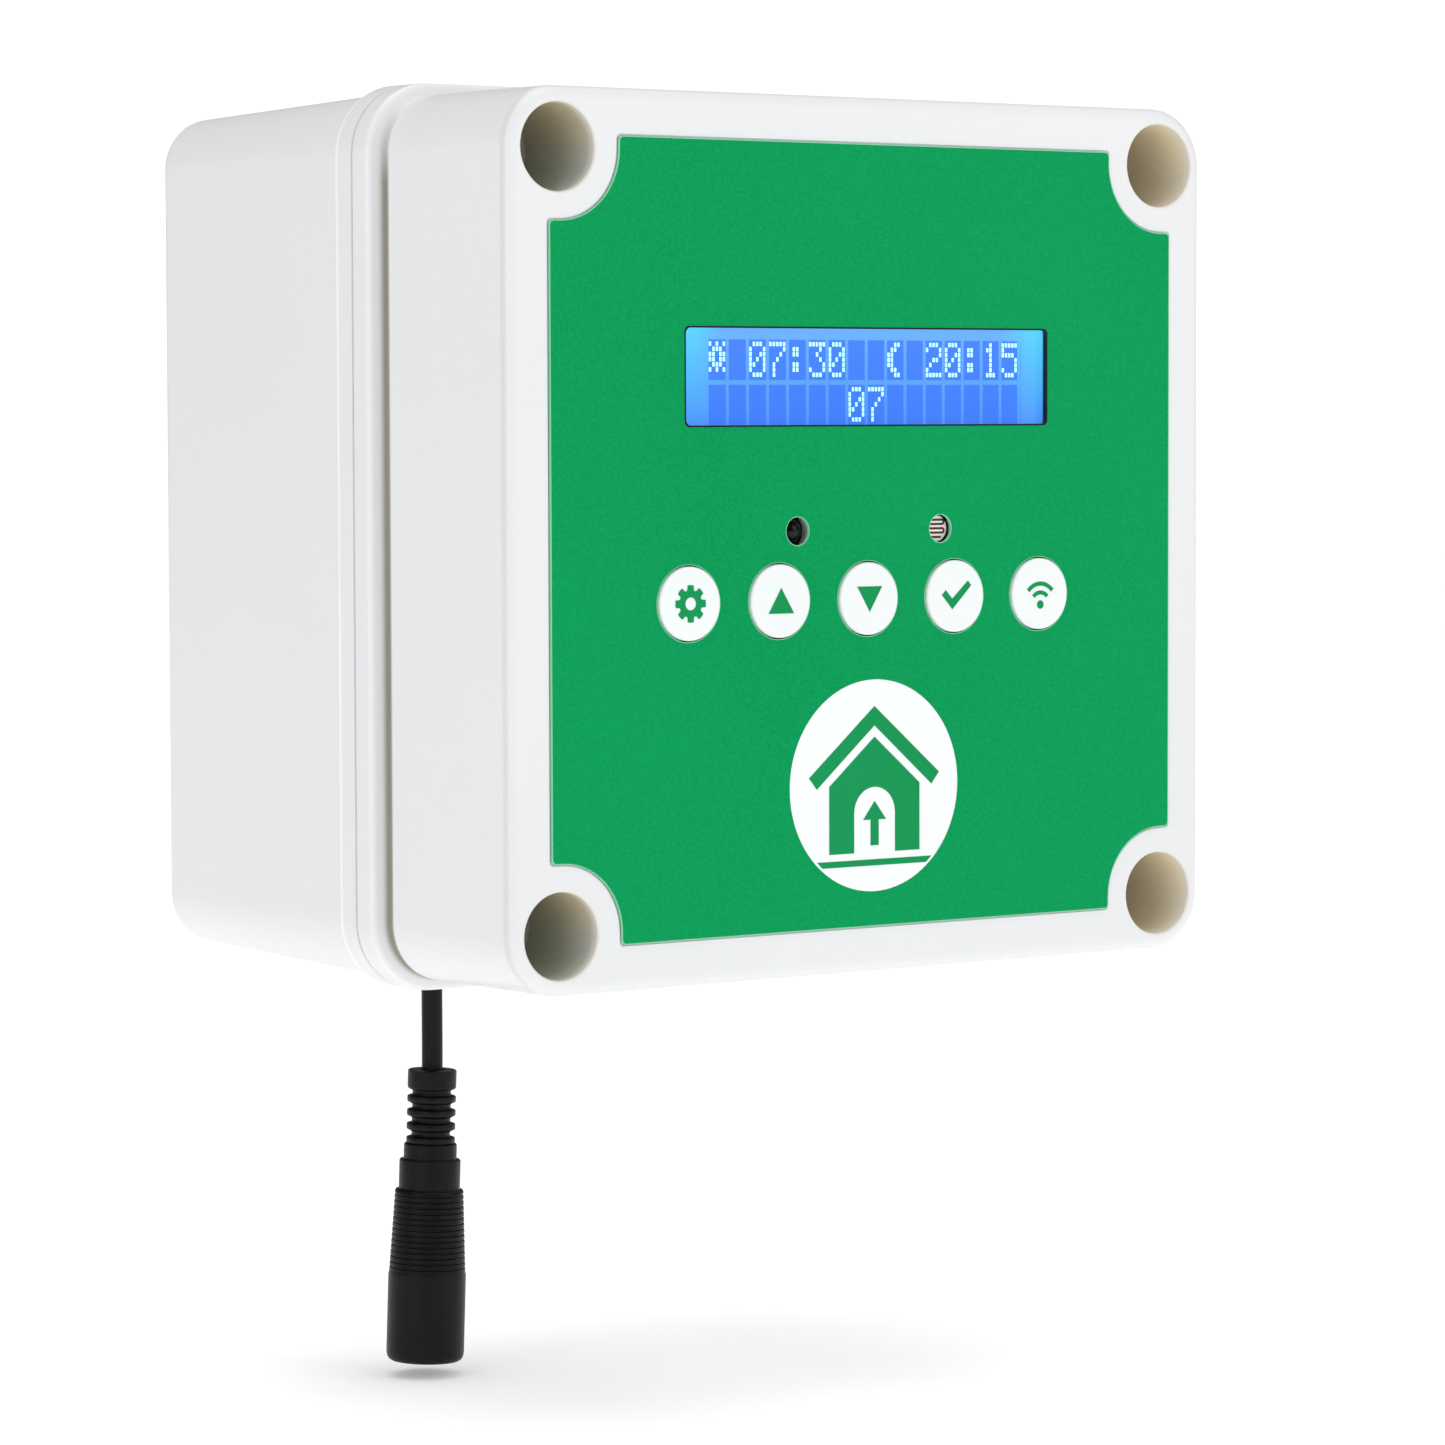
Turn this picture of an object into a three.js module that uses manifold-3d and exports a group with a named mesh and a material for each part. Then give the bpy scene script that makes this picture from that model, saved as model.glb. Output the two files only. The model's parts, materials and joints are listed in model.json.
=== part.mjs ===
// The wall unit of an automatic coop door: a square sealed box with a display, five buttons and a light
// sensor in front, a geared motor with a cord drum inside, and a short power lead that ends in a barrel
// socket.
// Millimetres. The origin is the middle of the back face, which rests on the wall; +X is right as seen from
// the front, +Y points into the wall and +Z is up, so the front face is at -Y.
import * as THREE from "three";
import { mergeVertices } from "three/addons/utils/BufferGeometryUtils.js";
import Module from "manifold-3d";

const wasm = await Module();
wasm.setup();

// ----------------------------------------------------------------------------------------------------
// Driving dimensions

const DEPTH = 94; // wall face to front face
const CASE_HALF = 62.5; // half the width of the cover
const CASE_FLANGE_HALF = 63.4; // half the width of the back case at its flange
const CASE_BACK_HALF = 61.8; // half the width of the back case at the wall
const CASE_CORNER = 8.4;
const FLANGE_HALF = 64.3; // the rim on both sides of the parting line
const FLANGE_CORNER = 10.4;
const WALL = 2.5;
const END_WALL = 3; // front wall of the cover and back wall of the case
const FRONT_ROUND = 2.2;
const BACK_ROUND = 2.6;
const GAP = 0.3; // between pieces that touch
const THIN_GAP = 0.15; // between pieces that are pressed or glued together
const FIT = 0.1; // radial play of a shaft in its bore

const FRONT = -DEPTH;
const FLANGE_FRONT = FRONT + 32.4;
const PARTING = FRONT + 36.6;
const FLANGE_BACK = FRONT + 41.1;

const SCREW_PITCH = 108.2; // between the cover screws, both ways
const WELL_RADIUS = 6.2;
const WELL_DEPTH = 17.5;
const SCREW_RADIUS = 1.9;

const PLATE_HALF = 55.8; // printed front sheet
const PLATE_NOTCH = 10; // its corners are cut round the screw wells
const PLATE_THICK = 0.4;
const PLATE_PROUD = 0.25;

const DISPLAY = { x: -0.4, z: 22.8, width: 65, height: 13.6 };
const BEZEL = { width: 71.2, height: 24.2 };

const BUTTON_Z = -8.8;
const BUTTON_PITCH = 15.8;
const BUTTON_NAMES = ["settings", "open", "close", "test", "learn"];
const BUTTON_MIDDLE_X = -1;
const BUTTON_RADIUS = 5.2;
const BUTTON_PROUD = 0.55; // above the printed sheet
const SENSOR_Z = 1;
const RECEIVER_X = -13.5;
const LIGHT_SENSOR_X = 12.3;
const SENSOR_HOLE = 2;

const BOARD_FRONT = -80;
const BOARD_THICK = 1.6;
const BOARD = { z: 2, halfWidth: 49, halfHeight: 36 };
const BOARD_SCREW = { x: 45, dz: 31 };

const AXLE = { y: -28, z: -8 }; // axis of the motor, the output shaft and the drum
const MODULE = 0.6; // gear tooth size
const SMALL_TEETH = 12;
const LARGE_TEETH = 36;
const GEAR_SPACING = (MODULE * (SMALL_TEETH + LARGE_TEETH)) / 2;
const DRUM = { left: -22.3, right: -5.8, radius: 10, flange: 17, flangeThick: 1.6 };
const SHAFT_RADIUS = 3;

const CORD_HOLE = { x: -14, y: -38, radius: 3.4 };
const LEAD = { x: -32.3, y: -28, radius: 1.6 };
const SOCKET_TOP = -80.5;
const SOCKET_LEAN = THREE.MathUtils.degToRad(2.16);

const CORNER_STEPS = 2; // a quarter circle of a slab gets twice as many facets
const ROUND_SIDES = 20;
const SMALL_SIDES = 10;
const WELD = 1e-4;

// ----------------------------------------------------------------------------------------------------
// Finishes

const finish = (color, roughness, metalness = 0) =>
  new THREE.MeshStandardMaterial({ color, roughness, metalness });
const housing = finish("#e6e8e9", 0.45);
const sheetGreen = finish("#10a35c", 0.55);
const capWhite = finish("#f7fbfb", 0.4);
const rubber = finish("#2b2b2d", 0.75);
const softBlack = finish("#222224", 0.5);
const glossBlack = finish("#101214", 0.1);
const blackSteel = finish("#17181a", 0.4, 0.6);
const displayBlue = finish("#4a90ff", 0.15);
const circuitGreen = finish("#175a33", 0.5);
const ceramic = finish("#efe3da", 0.5);
const steel = finish("#b9bcc0", 0.3, 1);
const zinc = finish("#c9cbc6", 0.4, 1);
const brass = finish("#c9a451", 0.35, 1);
const nylon = finish("#e9e6dc", 0.5);
const gearboxGrey = finish("#8f9296", 0.45, 0.7);
const terminalGreen = finish("#2f8f4a", 0.5);

// ----------------------------------------------------------------------------------------------------
// Solids

// A closed geometry as a solid: equal corners are shared, slivers with no area are dropped, and a surface
// that was drawn inside out is turned round.
function solid(geometry) {
  const loose = geometry.index ? geometry.toNonIndexed() : geometry;
  const bare = new THREE.BufferGeometry();
  bare.setAttribute("position", loose.getAttribute("position"));
  const merged = mergeVertices(bare, WELD);
  const corners = [...merged.index.array];
  const build = (flip) => {
    const triangles = [];
    for (let i = 0; i < corners.length; i += 3) {
      const [a, b, c] = corners.slice(i, i + 3);
      if (a !== b && b !== c && c !== a) triangles.push(a, flip ? c : b, flip ? b : c);
    }
    const vertProperties = merged.getAttribute("position").array;
    return new wasm.Manifold(
      new wasm.Mesh({ numProp: 3, vertProperties, triVerts: new Uint32Array(triangles) }),
    );
  };
  const made = build(false);
  return made.volume() < 0 ? build(true) : made;
}

// The sum of several solids.
const join = (...solids) => solids.reduce((whole, next) => whole.add(next));

// The first solid with the others taken away.
const cut = (body, ...tools) => tools.reduce((whole, tool) => whole.subtract(tool), body);

// A solid moved to another place.
const moved = (body, x, y, z) => body.translate([x, y, z]);

// A box between two corners.
function block([x0, y0, z0], [x1, y1, z1]) {
  const geometry = new THREE.BoxGeometry(x1 - x0, y1 - y0, z1 - z0);
  geometry.translate((x0 + x1) / 2, (y0 + y1) / 2, (z0 + z1) / 2);
  return solid(geometry);
}

// A profile of [radius, height] turned about an axis, with heights along it.
function turned(profile, axis, sides = ROUND_SIDES) {
  const geometry = new THREE.LatheGeometry(
    profile.map(([radius, height]) => new THREE.Vector2(radius, height)),
    sides,
  );
  if (axis === "x") geometry.rotateZ(-Math.PI / 2);
  if (axis === "z") geometry.rotateX(Math.PI / 2);
  return solid(geometry);
}

const rod = (radius, from, to, axis, sides = ROUND_SIDES) =>
  turned([[0, from], [radius, from], [radius, to], [0, to]], axis, sides);

const ring = (inner, outer, from, to, axis, sides = ROUND_SIDES) =>
  turned([[inner, from], [outer, from], [outer, to], [inner, to], [inner, from]], axis, sides);

// An outline in X and Z, drawn as seen from the front, made solid from its front to its back. With a round,
// both ends get a rounded edge.
function slabGeometry(outline, front, back, round = 0) {
  const geometry = new THREE.ExtrudeGeometry(outline, {
    depth: back - front - 2 * round,
    curveSegments: CORNER_STEPS,
    bevelEnabled: round > 0,
    bevelSize: round,
    bevelThickness: round,
    bevelOffset: -round,
    bevelSegments: 3,
  });
  geometry.rotateX(Math.PI / 2);
  geometry.translate(0, back - round, 0);
  return geometry;
}

const slab = (outline, front, back, round) => solid(slabGeometry(outline, front, back, round));

// A closed outline in Y and Z made solid along X.
function plateAcross(points, left, right) {
  const outline = new THREE.Shape(points.map(([y, z]) => new THREE.Vector2(-z, y)));
  const geometry = new THREE.ExtrudeGeometry(outline, { depth: right - left, bevelEnabled: false });
  geometry.rotateY(Math.PI / 2);
  geometry.translate(left, 0, 0);
  return solid(geometry);
}

function roundedRectangle(halfWidth, halfHeight, radius, x = 0, z = 0) {
  const outline = new THREE.Shape();
  const dx = halfWidth - radius;
  const dz = halfHeight - radius;
  [[dx, dz], [-dx, dz], [-dx, -dz], [dx, -dz]].forEach(([cx, cz], quarter) => {
    const start = (quarter * Math.PI) / 2;
    outline.absarc(x + cx, z + cz, radius, start, start + Math.PI / 2);
  });
  return outline;
}

const roundedSquare = (half, radius) => roundedRectangle(half, half, radius);

// A tube of round section along a smooth curve through some points.
function tube(points, radius, steps) {
  const section = new THREE.Shape();
  section.absarc(0, 0, radius, 0, 2 * Math.PI);
  const extrudePath = new THREE.CatmullRomCurve3(points.map((p) => new THREE.Vector3(...p)));
  return solid(new THREE.ExtrudeGeometry(section, { steps, curveSegments: 4, extrudePath }));
}

const opener = new THREE.Group();

// Adds a named mesh for a solid to the opener, or to a group inside it, at a place of its own.
function add(name, body, material, [x, y, z] = [0, 0, 0], parent = opener) {
  const made = body.getMesh();
  const geometry = new THREE.BufferGeometry();
  geometry.setAttribute("position", new THREE.BufferAttribute(new Float32Array(made.vertProperties), 3));
  geometry.setIndex(new THREE.BufferAttribute(new Uint32Array(made.triVerts), 1));
  geometry.computeVertexNormals();
  const mesh = new THREE.Mesh(geometry, material);
  mesh.name = name;
  mesh.position.set(x, y, z);
  parent.add(mesh);
}

const FOUR_CORNERS = [[-1, 1], [1, 1], [-1, -1], [1, -1]];
const screwPlaces = FOUR_CORNERS.map(([sx, sz]) => [(sx * SCREW_PITCH) / 2, (sz * SCREW_PITCH) / 2]);
const boardScrewPlaces = FOUR_CORNERS.map(([sx, sz]) => [
  sx * BOARD_SCREW.x,
  BOARD.z + sz * BOARD_SCREW.dz,
]);
const buttonX = (index) => BUTTON_MIDDLE_X + (index - 2) * BUTTON_PITCH;

// ----------------------------------------------------------------------------------------------------
// Case: front cover, back case, seal and cover screws

const INSIDE_HALF = CASE_HALF - WALL;
const INSIDE_CORNER = 6;
const COVER_INSIDE = FRONT + END_WALL;
const WELL_FLOOR = FRONT + WELL_DEPTH;
const WELL_TUBE = WELL_RADIUS + 1.9;
const COLUMN_RADIUS = 7.4;
const POST_RADIUS = 3;
const COVER_BACK = PARTING - THIN_GAP;
const CASE_FRONT = PARTING + THIN_GAP;

// The printed sheet's outline: a square whose corners are cut round the screw wells, grown by a margin.
function sheetOutline(margin) {
  const outline = new THREE.Shape();
  const half = PLATE_HALF + margin;
  const radius = PLATE_NOTCH - margin;
  const centre = SCREW_PITCH / 2;
  const straight = centre - radius;
  for (let corner = 0; corner < 4; corner++) {
    const turn = (corner * Math.PI) / 2;
    const at = (x, z) => new THREE.Vector2(x, z).rotateAround(new THREE.Vector2(), turn);
    const first = at(half, straight);
    const last = at(straight, half);
    const middle = at(centre, centre);
    if (corner === 0) outline.moveTo(first.x, first.y);
    else outline.lineTo(first.x, first.y);
    outline.absarc(middle.x, middle.y, radius, turn - Math.PI / 2, turn - Math.PI, true);
    outline.lineTo(last.x, last.y);
  }
  return outline;
}

function frontCover() {
  const beyond = COVER_BACK + 10;
  const skirt = slab(roundedSquare(CASE_HALF, CASE_CORNER), FRONT, beyond, FRONT_ROUND);
  const rim = slab(roundedSquare(FLANGE_HALF, FLANGE_CORNER), FLANGE_FRONT, beyond, 0.8);
  const behind = block([-80, COVER_BACK, -80], [80, 0, 80]);
  const outside = cut(join(skirt, rim), behind);
  const hollow = slab(roundedSquare(INSIDE_HALF, INSIDE_CORNER), COVER_INSIDE, COVER_BACK + 1);
  const wells = screwPlaces.map(([x, z]) => moved(rod(WELL_TUBE, FRONT + 1, COVER_BACK, "y"), x, 0, z));
  const posts = boardScrewPlaces.map(([x, z]) =>
    moved(rod(POST_RADIUS, COVER_INSIDE - 1, BOARD_FRONT - GAP, "y", SMALL_SIDES), x, 0, z),
  );
  // The wells stay inside the skirt, which rounds the corner outside them.
  const corners = join(...wells).intersect(outside);
  const body = join(cut(outside, hollow), corners, ...posts);
  const wellBores = screwPlaces.flatMap(([x, z]) => [
    moved(rod(WELL_RADIUS, FRONT - 1, WELL_FLOOR, "y"), x, 0, z),
    moved(rod(SCREW_RADIUS + 0.5, FRONT, COVER_BACK + 1, "y", SMALL_SIDES), x, 0, z),
  ]);
  const postBores = boardScrewPlaces.map(([x, z]) =>
    moved(rod(1.4, BOARD_FRONT - 7, BOARD_FRONT, "y", SMALL_SIDES), x, 0, z),
  );
  const recess = slab(sheetOutline(GAP), FRONT - 1, FRONT + PLATE_THICK - PLATE_PROUD + THIN_GAP);
  const displayHole = slab(
    roundedRectangle(BEZEL.width / 2 + GAP, BEZEL.height / 2 + GAP, 0.8, DISPLAY.x, DISPLAY.z),
    FRONT - 1,
    COVER_INSIDE + 1,
  );
  const buttonHoles = BUTTON_NAMES.map((name, i) =>
    moved(rod(BUTTON_RADIUS + 0.25, FRONT - 1, COVER_INSIDE + 1, "y"), buttonX(i), 0, BUTTON_Z),
  );
  const sensorHoles = [RECEIVER_X, LIGHT_SENSOR_X].map((x) =>
    moved(rod(2.8, FRONT - 1, COVER_INSIDE + 1, "y", SMALL_SIDES), x, 0, SENSOR_Z),
  );
  return cut(body, ...wellBores, ...postBores, recess, displayHole, ...buttonHoles, ...sensorHoles);
}

const SEAL = { inner: 61, outer: 62.6, corner: 7.6, depth: 1.9 };
const CASE_INSIDE = -END_WALL;
const WALL_HOLES = { x: 36, z: 50, radius: 2.3 };
const BRACKET_SCREWS = { x: 8, z: [-26.5, 25] };
const BRACKET_BOSS_FRONT = -8;
const CORD_BUSH_NECK = 5.6;
const GROMMET_NECK = 4.1;

// A square ring between two rounded squares.
const squareRing = (inner, outer, corner, front, back) =>
  cut(
    slab(roundedSquare(outer, corner + (outer - inner)), front, back),
    slab(roundedSquare(inner, corner), front - 1, back + 1),
  );

// Narrows the case towards the wall: its sides move in, and its corners shrink about the screws' axes.
function narrow(geometry) {
  const place = geometry.getAttribute("position");
  const centre = SCREW_PITCH / 2;
  const clamp = (value) => THREE.MathUtils.clamp(value, -centre, centre);
  for (let i = 0; i < place.count; i++) {
    const [x, y, z] = [place.getX(i), place.getY(i), place.getZ(i)];
    const half = THREE.MathUtils.mapLinear(y, CASE_FRONT, 0, CASE_FLANGE_HALF, CASE_BACK_HALF);
    const share = (half - centre) / (CASE_FLANGE_HALF - centre);
    place.setX(i, clamp(x) + (x - clamp(x)) * share);
    place.setZ(i, clamp(z) + (z - clamp(z)) * share);
  }
  return geometry;
}

function rearCase() {
  const ahead = CASE_FRONT - 10;
  const corner = CASE_FLANGE_HALF - SCREW_PITCH / 2;
  const outline = roundedSquare(CASE_FLANGE_HALF, corner);
  const tub = solid(narrow(slabGeometry(outline, ahead, 0, BACK_ROUND)));
  const rim = slab(roundedSquare(FLANGE_HALF, FLANGE_CORNER), ahead, FLANGE_BACK, 0.8);
  const before = block([-80, FRONT, -80], [80, CASE_FRONT, 80]);
  const outside = cut(join(tub, rim), before);
  const hollow = slab(roundedSquare(INSIDE_HALF - 0.8, INSIDE_CORNER), CASE_FRONT - 1, CASE_INSIDE);
  const columns = screwPlaces.map(([x, z]) =>
    moved(rod(COLUMN_RADIUS, CASE_FRONT, CASE_INSIDE + 1, "y"), x, 0, z),
  );
  const bosses = BRACKET_SCREWS.z.map((z) =>
    moved(rod(4, BRACKET_BOSS_FRONT, CASE_INSIDE + 1, "y", SMALL_SIDES), BRACKET_SCREWS.x, 0, z),
  );
  const body = join(cut(outside, hollow), join(...columns).intersect(outside), ...bosses);
  const screwBores = screwPlaces.map(([x, z]) =>
    moved(rod(SCREW_RADIUS + 0.3, CASE_FRONT - 1, CASE_FRONT + 14, "y", SMALL_SIDES), x, 0, z),
  );
  const bossBores = BRACKET_SCREWS.z.map((z) =>
    moved(rod(1.8, BRACKET_BOSS_FRONT - 1, CASE_INSIDE, "y", SMALL_SIDES), BRACKET_SCREWS.x, 0, z),
  );
  const wallHoles = FOUR_CORNERS.map(([sx, sz]) =>
    moved(
      rod(WALL_HOLES.radius, CASE_INSIDE - 1, 1, "y", SMALL_SIDES),
      sx * WALL_HOLES.x,
      0,
      sz * WALL_HOLES.z,
    ),
  );
  const groove = squareRing(SEAL.inner, SEAL.outer, SEAL.corner, CASE_FRONT - 1, CASE_FRONT + SEAL.depth);
  const cordHole = moved(rod(CORD_BUSH_NECK + GAP, -70, -55, "z"), CORD_HOLE.x, CORD_HOLE.y, 0);
  const leadHole = moved(rod(GROMMET_NECK + GAP, -70, -55, "z"), LEAD.x, LEAD.y, 0);
  return cut(body, ...screwBores, ...bossBores, ...wallHoles, groove, cordHole, leadHole);
}

const sealGasket = () =>
  squareRing(
    SEAL.inner + 0.2,
    SEAL.outer - 0.2,
    SEAL.corner + 0.2,
    CASE_FRONT - THIN_GAP / 2,
    CASE_FRONT + SEAL.depth - 0.2,
  );

// A screw whose head rests at 0 and whose shank runs towards +Y, with a cross recess in the head.
function panScrew(headRadius, headHeight, shankRadius, shankLength) {
  const head = turned(
    [[0, 0], [headRadius, 0], [headRadius, -0.55 * headHeight], [0.72 * headRadius, -headHeight],
      [0, -headHeight]],
    "y",
    12,
  );
  const shank = rod(shankRadius, -0.5, shankLength, "y", 8);
  const arm = 0.52 * headRadius;
  const thick = 0.13 * headRadius;
  const slotDeep = -0.45 * headHeight;
  const top = -headHeight - 1;
  return cut(
    join(head, shank),
    block([-arm, top, -thick], [arm, slotDeep, thick]),
    block([-thick, top, -arm], [thick, slotDeep, arm]),
  );
}

add("front_cover", frontCover(), housing);
add("rear_case", rearCase(), housing);
add("seal_gasket", sealGasket(), rubber);
const coverScrew = panScrew(4, 2.6, SCREW_RADIUS, CASE_FRONT + 12 - WELL_FLOOR);
screwPlaces.forEach(([x, z], i) => {
  add(`cover_screw_${i + 1}`, coverScrew, steel, [x, WELL_FLOOR - THIN_GAP, z]);
});

// ----------------------------------------------------------------------------------------------------
// Front sheet, buttons and sensors

const SHEET_FRONT = FRONT - PLATE_PROUD;
const SHEET_BACK = SHEET_FRONT + PLATE_THICK;

const circleHole = (x, z, radius) => {
  const hole = new THREE.Path();
  for (let quarter = 0; quarter < 4; quarter++) {
    hole.absarc(x, z, radius, (quarter * Math.PI) / 2, ((quarter + 1) * Math.PI) / 2);
  }
  return hole;
};

function frontSheet() {
  const outline = sheetOutline(0);
  outline.holes.push(
    roundedRectangle(DISPLAY.width / 2, DISPLAY.height / 2, 1, DISPLAY.x, DISPLAY.z),
    ...BUTTON_NAMES.map((name, i) => circleHole(buttonX(i), BUTTON_Z, BUTTON_RADIUS + 0.2)),
    circleHole(RECEIVER_X, SENSOR_Z, SENSOR_HOLE),
    circleHole(LIGHT_SENSOR_X, SENSOR_Z, SENSOR_HOLE),
  );
  return slab(outline, SHEET_FRONT, SHEET_BACK);
}

const BUTTON_TRAVEL = 0.5;
const CAP_FRONT = SHEET_FRONT - BUTTON_PROUD;
const CAP_FLANGE_FRONT = COVER_INSIDE + GAP;
const PLUNGER_FRONT = -87;
const SWITCH_FRONT = BOARD_FRONT - 3.6;
const SWITCH_BORE_DEPTH = 1.8;

// A cap with a flange that holds it behind the cover and a stem that presses the switch, at its own axis.
const buttonCap = () =>
  turned(
    [
      [0, CAP_FRONT],
      [BUTTON_RADIUS - 0.4, CAP_FRONT],
      [BUTTON_RADIUS, CAP_FRONT + 0.4],
      [BUTTON_RADIUS, CAP_FLANGE_FRONT],
      [BUTTON_RADIUS + 1.1, CAP_FLANGE_FRONT],
      [BUTTON_RADIUS + 1.1, CAP_FLANGE_FRONT + 1.2],
      [1.6, CAP_FLANGE_FRONT + 1.2],
      [1.6, PLUNGER_FRONT - GAP],
      [0, PLUNGER_FRONT - GAP],
    ],
    "y",
  );

const switchBody = () =>
  cut(
    block([-3, SWITCH_FRONT, -3], [3, BOARD_FRONT - THIN_GAP, 3]),
    rod(1.95, SWITCH_FRONT - 1, SWITCH_FRONT + SWITCH_BORE_DEPTH, "y", SMALL_SIDES),
  );

const switchPlunger = () =>
  rod(1.75, PLUNGER_FRONT, SWITCH_FRONT + SWITCH_BORE_DEPTH - BUTTON_TRAVEL - 0.1, "y", SMALL_SIDES);

add("front_sheet", frontSheet(), sheetGreen);
BUTTON_NAMES.forEach((name, i) => {
  const place = [buttonX(i), 0, BUTTON_Z];
  add(`button_${name}`, buttonCap(), capWhite, place);
  add(`plunger_${name}`, switchPlunger(), softBlack, place);
  add(`switch_${name}`, switchBody(), blackSteel, place);
});

// A domed infrared receiver and a flat light sensor, each on a holder that stands on the board.
const receiverDome = turned(
  [[0, -93.8], [1, -93.55], [1.6, -92.9], [1.8, -92], [1.8, -86], [2.3, -86], [2.3, -85], [1.2, -85],
    [1.2, BOARD_FRONT - THIN_GAP], [0, BOARD_FRONT - THIN_GAP]],
  "y",
  SMALL_SIDES,
);
const lightSensor = turned(
  [[0, -93.3], [2.5, -93.3], [2.5, -91.2], [1.2, -91.2], [1.2, BOARD_FRONT - THIN_GAP],
    [0, BOARD_FRONT - THIN_GAP]],
  "y",
  SMALL_SIDES,
);
add("infrared_receiver", receiverDome, glossBlack, [RECEIVER_X, 0, SENSOR_Z]);
add("light_sensor", lightSensor, ceramic, [LIGHT_SENSOR_X, 0, SENSOR_Z]);

// ----------------------------------------------------------------------------------------------------
// Display module and main board

const BEZEL_FRONT = SHEET_BACK + 0.2;
const BEZEL_LIP = 0.4;
const GLASS_FRONT = BEZEL_FRONT + BEZEL_LIP + THIN_GAP;
const DISPLAY_BOARD_FRONT = -84.6;
const GLASS_BACK = DISPLAY_BOARD_FRONT - THIN_GAP;
const DISPLAY_BOARD_BACK = DISPLAY_BOARD_FRONT + BOARD_THICK;

// A rectangle centred on the display, solid between two depths.
const displaySlab = (width, height, front, back) =>
  slab(roundedRectangle(width / 2, height / 2, 0.6, DISPLAY.x, DISPLAY.z), front, back);

const displayBezel = () =>
  cut(
    displaySlab(BEZEL.width, BEZEL.height, BEZEL_FRONT, DISPLAY_BOARD_FRONT - THIN_GAP),
    displaySlab(DISPLAY.width + 0.4, DISPLAY.height + 0.4, BEZEL_FRONT - 1, BEZEL_FRONT + 1),
    displaySlab(BEZEL.width - 1.2, BEZEL.height - 1.2, BEZEL_FRONT + BEZEL_LIP, DISPLAY_BOARD_FRONT),
  );

function mainBoard() {
  const outline = roundedRectangle(BOARD.halfWidth, BOARD.halfHeight, 2, 0, BOARD.z);
  outline.holes.push(...boardScrewPlaces.map(([x, z]) => circleHole(x, z, 1.7)));
  return slab(outline, BOARD_FRONT, BOARD_FRONT + BOARD_THICK);
}

add("display_bezel", displayBezel(), blackSteel);
// The glass and the light box behind it come as one block.
add("display_glass", displaySlab(BEZEL.width - 2, BEZEL.height - 2, GLASS_FRONT, GLASS_BACK), displayBlue);
add("display_board", displaySlab(80, 36, DISPLAY_BOARD_FRONT, DISPLAY_BOARD_BACK), circuitGreen);
add("main_board", mainBoard(), circuitGreen);

const BOARD_BACK = BOARD_FRONT + BOARD_THICK;
const ON_BOARD = BOARD_BACK + THIN_GAP;
const boardScrew = cut(
  join(rod(1.2, -8, 0.5, "y", 8), rod(2.7, 0, 1.7, "y", SMALL_SIDES)),
  block([-3, 1, -0.3], [3, 3, 0.3]),
);
boardScrewPlaces.forEach(([x, z], i) => add(`board_screw_${i + 1}`, boardScrew, steel, [x, ON_BOARD, z]));

// A two-way screw terminal with a wire mouth in each half.
const terminal = () =>
  cut(
    block([-5, 0, -4], [5, 9, 4]),
    block([-3.8, 7, -2.6], [-1.2, 10, 2.6]),
    block([1.2, 7, -2.6], [3.8, 10, 2.6]),
  );
const POWER_TERMINAL = [-30, ON_BOARD, -26];
const MOTOR_TERMINAL = [-8, ON_BOARD, -26];
add("power_terminal", terminal(), terminalGreen, POWER_TERMINAL);
add("motor_terminal", terminal(), terminalGreen, MOTOR_TERMINAL);
add("radio_module", block([-9, 0, -6], [9, 2.6, 6]), circuitGreen, [28, ON_BOARD, 24]);

// ----------------------------------------------------------------------------------------------------
// Geared motor and cord drum

const CASE_SIDE = 2; // wall of the gearbox
const GEAR_ROOM = (MODULE * LARGE_TEETH) / 2 + MODULE + 0.8;
const IDLER_Z = AXLE.z + GEAR_SPACING;
const GEARBOX = { left: -0.5, split: 1.5, right: 18.3, half: GEAR_ROOM + CASE_SIDE };
const BUSH_RADIUS = 5;
const PIN_RADIUS = 1.2;
const CAN = { left: 18.6, right: 47.6, radius: 12.2 };

// A gear outline with flat-topped teeth, turned by half a tooth where asked.
function gearOutline(teeth, halfStep) {
  const pitchRadius = (MODULE * teeth) / 2;
  const tip = { radius: pitchRadius + 0.75 * MODULE, half: 0.2 * MODULE };
  const root = { radius: pitchRadius - 1.1 * MODULE, half: 0.85 * MODULE };
  const points = [];
  for (let tooth = 0; tooth < teeth; tooth++) {
    const middle = (2 * Math.PI * (tooth + (halfStep ? 0.5 : 0))) / teeth;
    const flank = [root, tip].map(({ radius, half }) => [radius, half / radius]);
    const left = flank.map(([radius, angle]) => [radius, middle - angle]);
    const right = flank.map(([radius, angle]) => [radius, middle + angle]).reverse();
    const corners = [...left, ...right];
    points.push(...corners.map(([r, a]) => new THREE.Vector2(r * Math.cos(a), r * Math.sin(a))));
  }
  return new THREE.Shape(points);
}

// A gear about the X axis between two places on it.
function gear(teeth, left, right, halfStep = false) {
  const outline = gearOutline(teeth, halfStep);
  const geometry = new THREE.ExtrudeGeometry(outline, { depth: right - left, bevelEnabled: false });
  geometry.rotateY(Math.PI / 2);
  geometry.translate(left, 0, 0);
  return solid(geometry);
}

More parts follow.
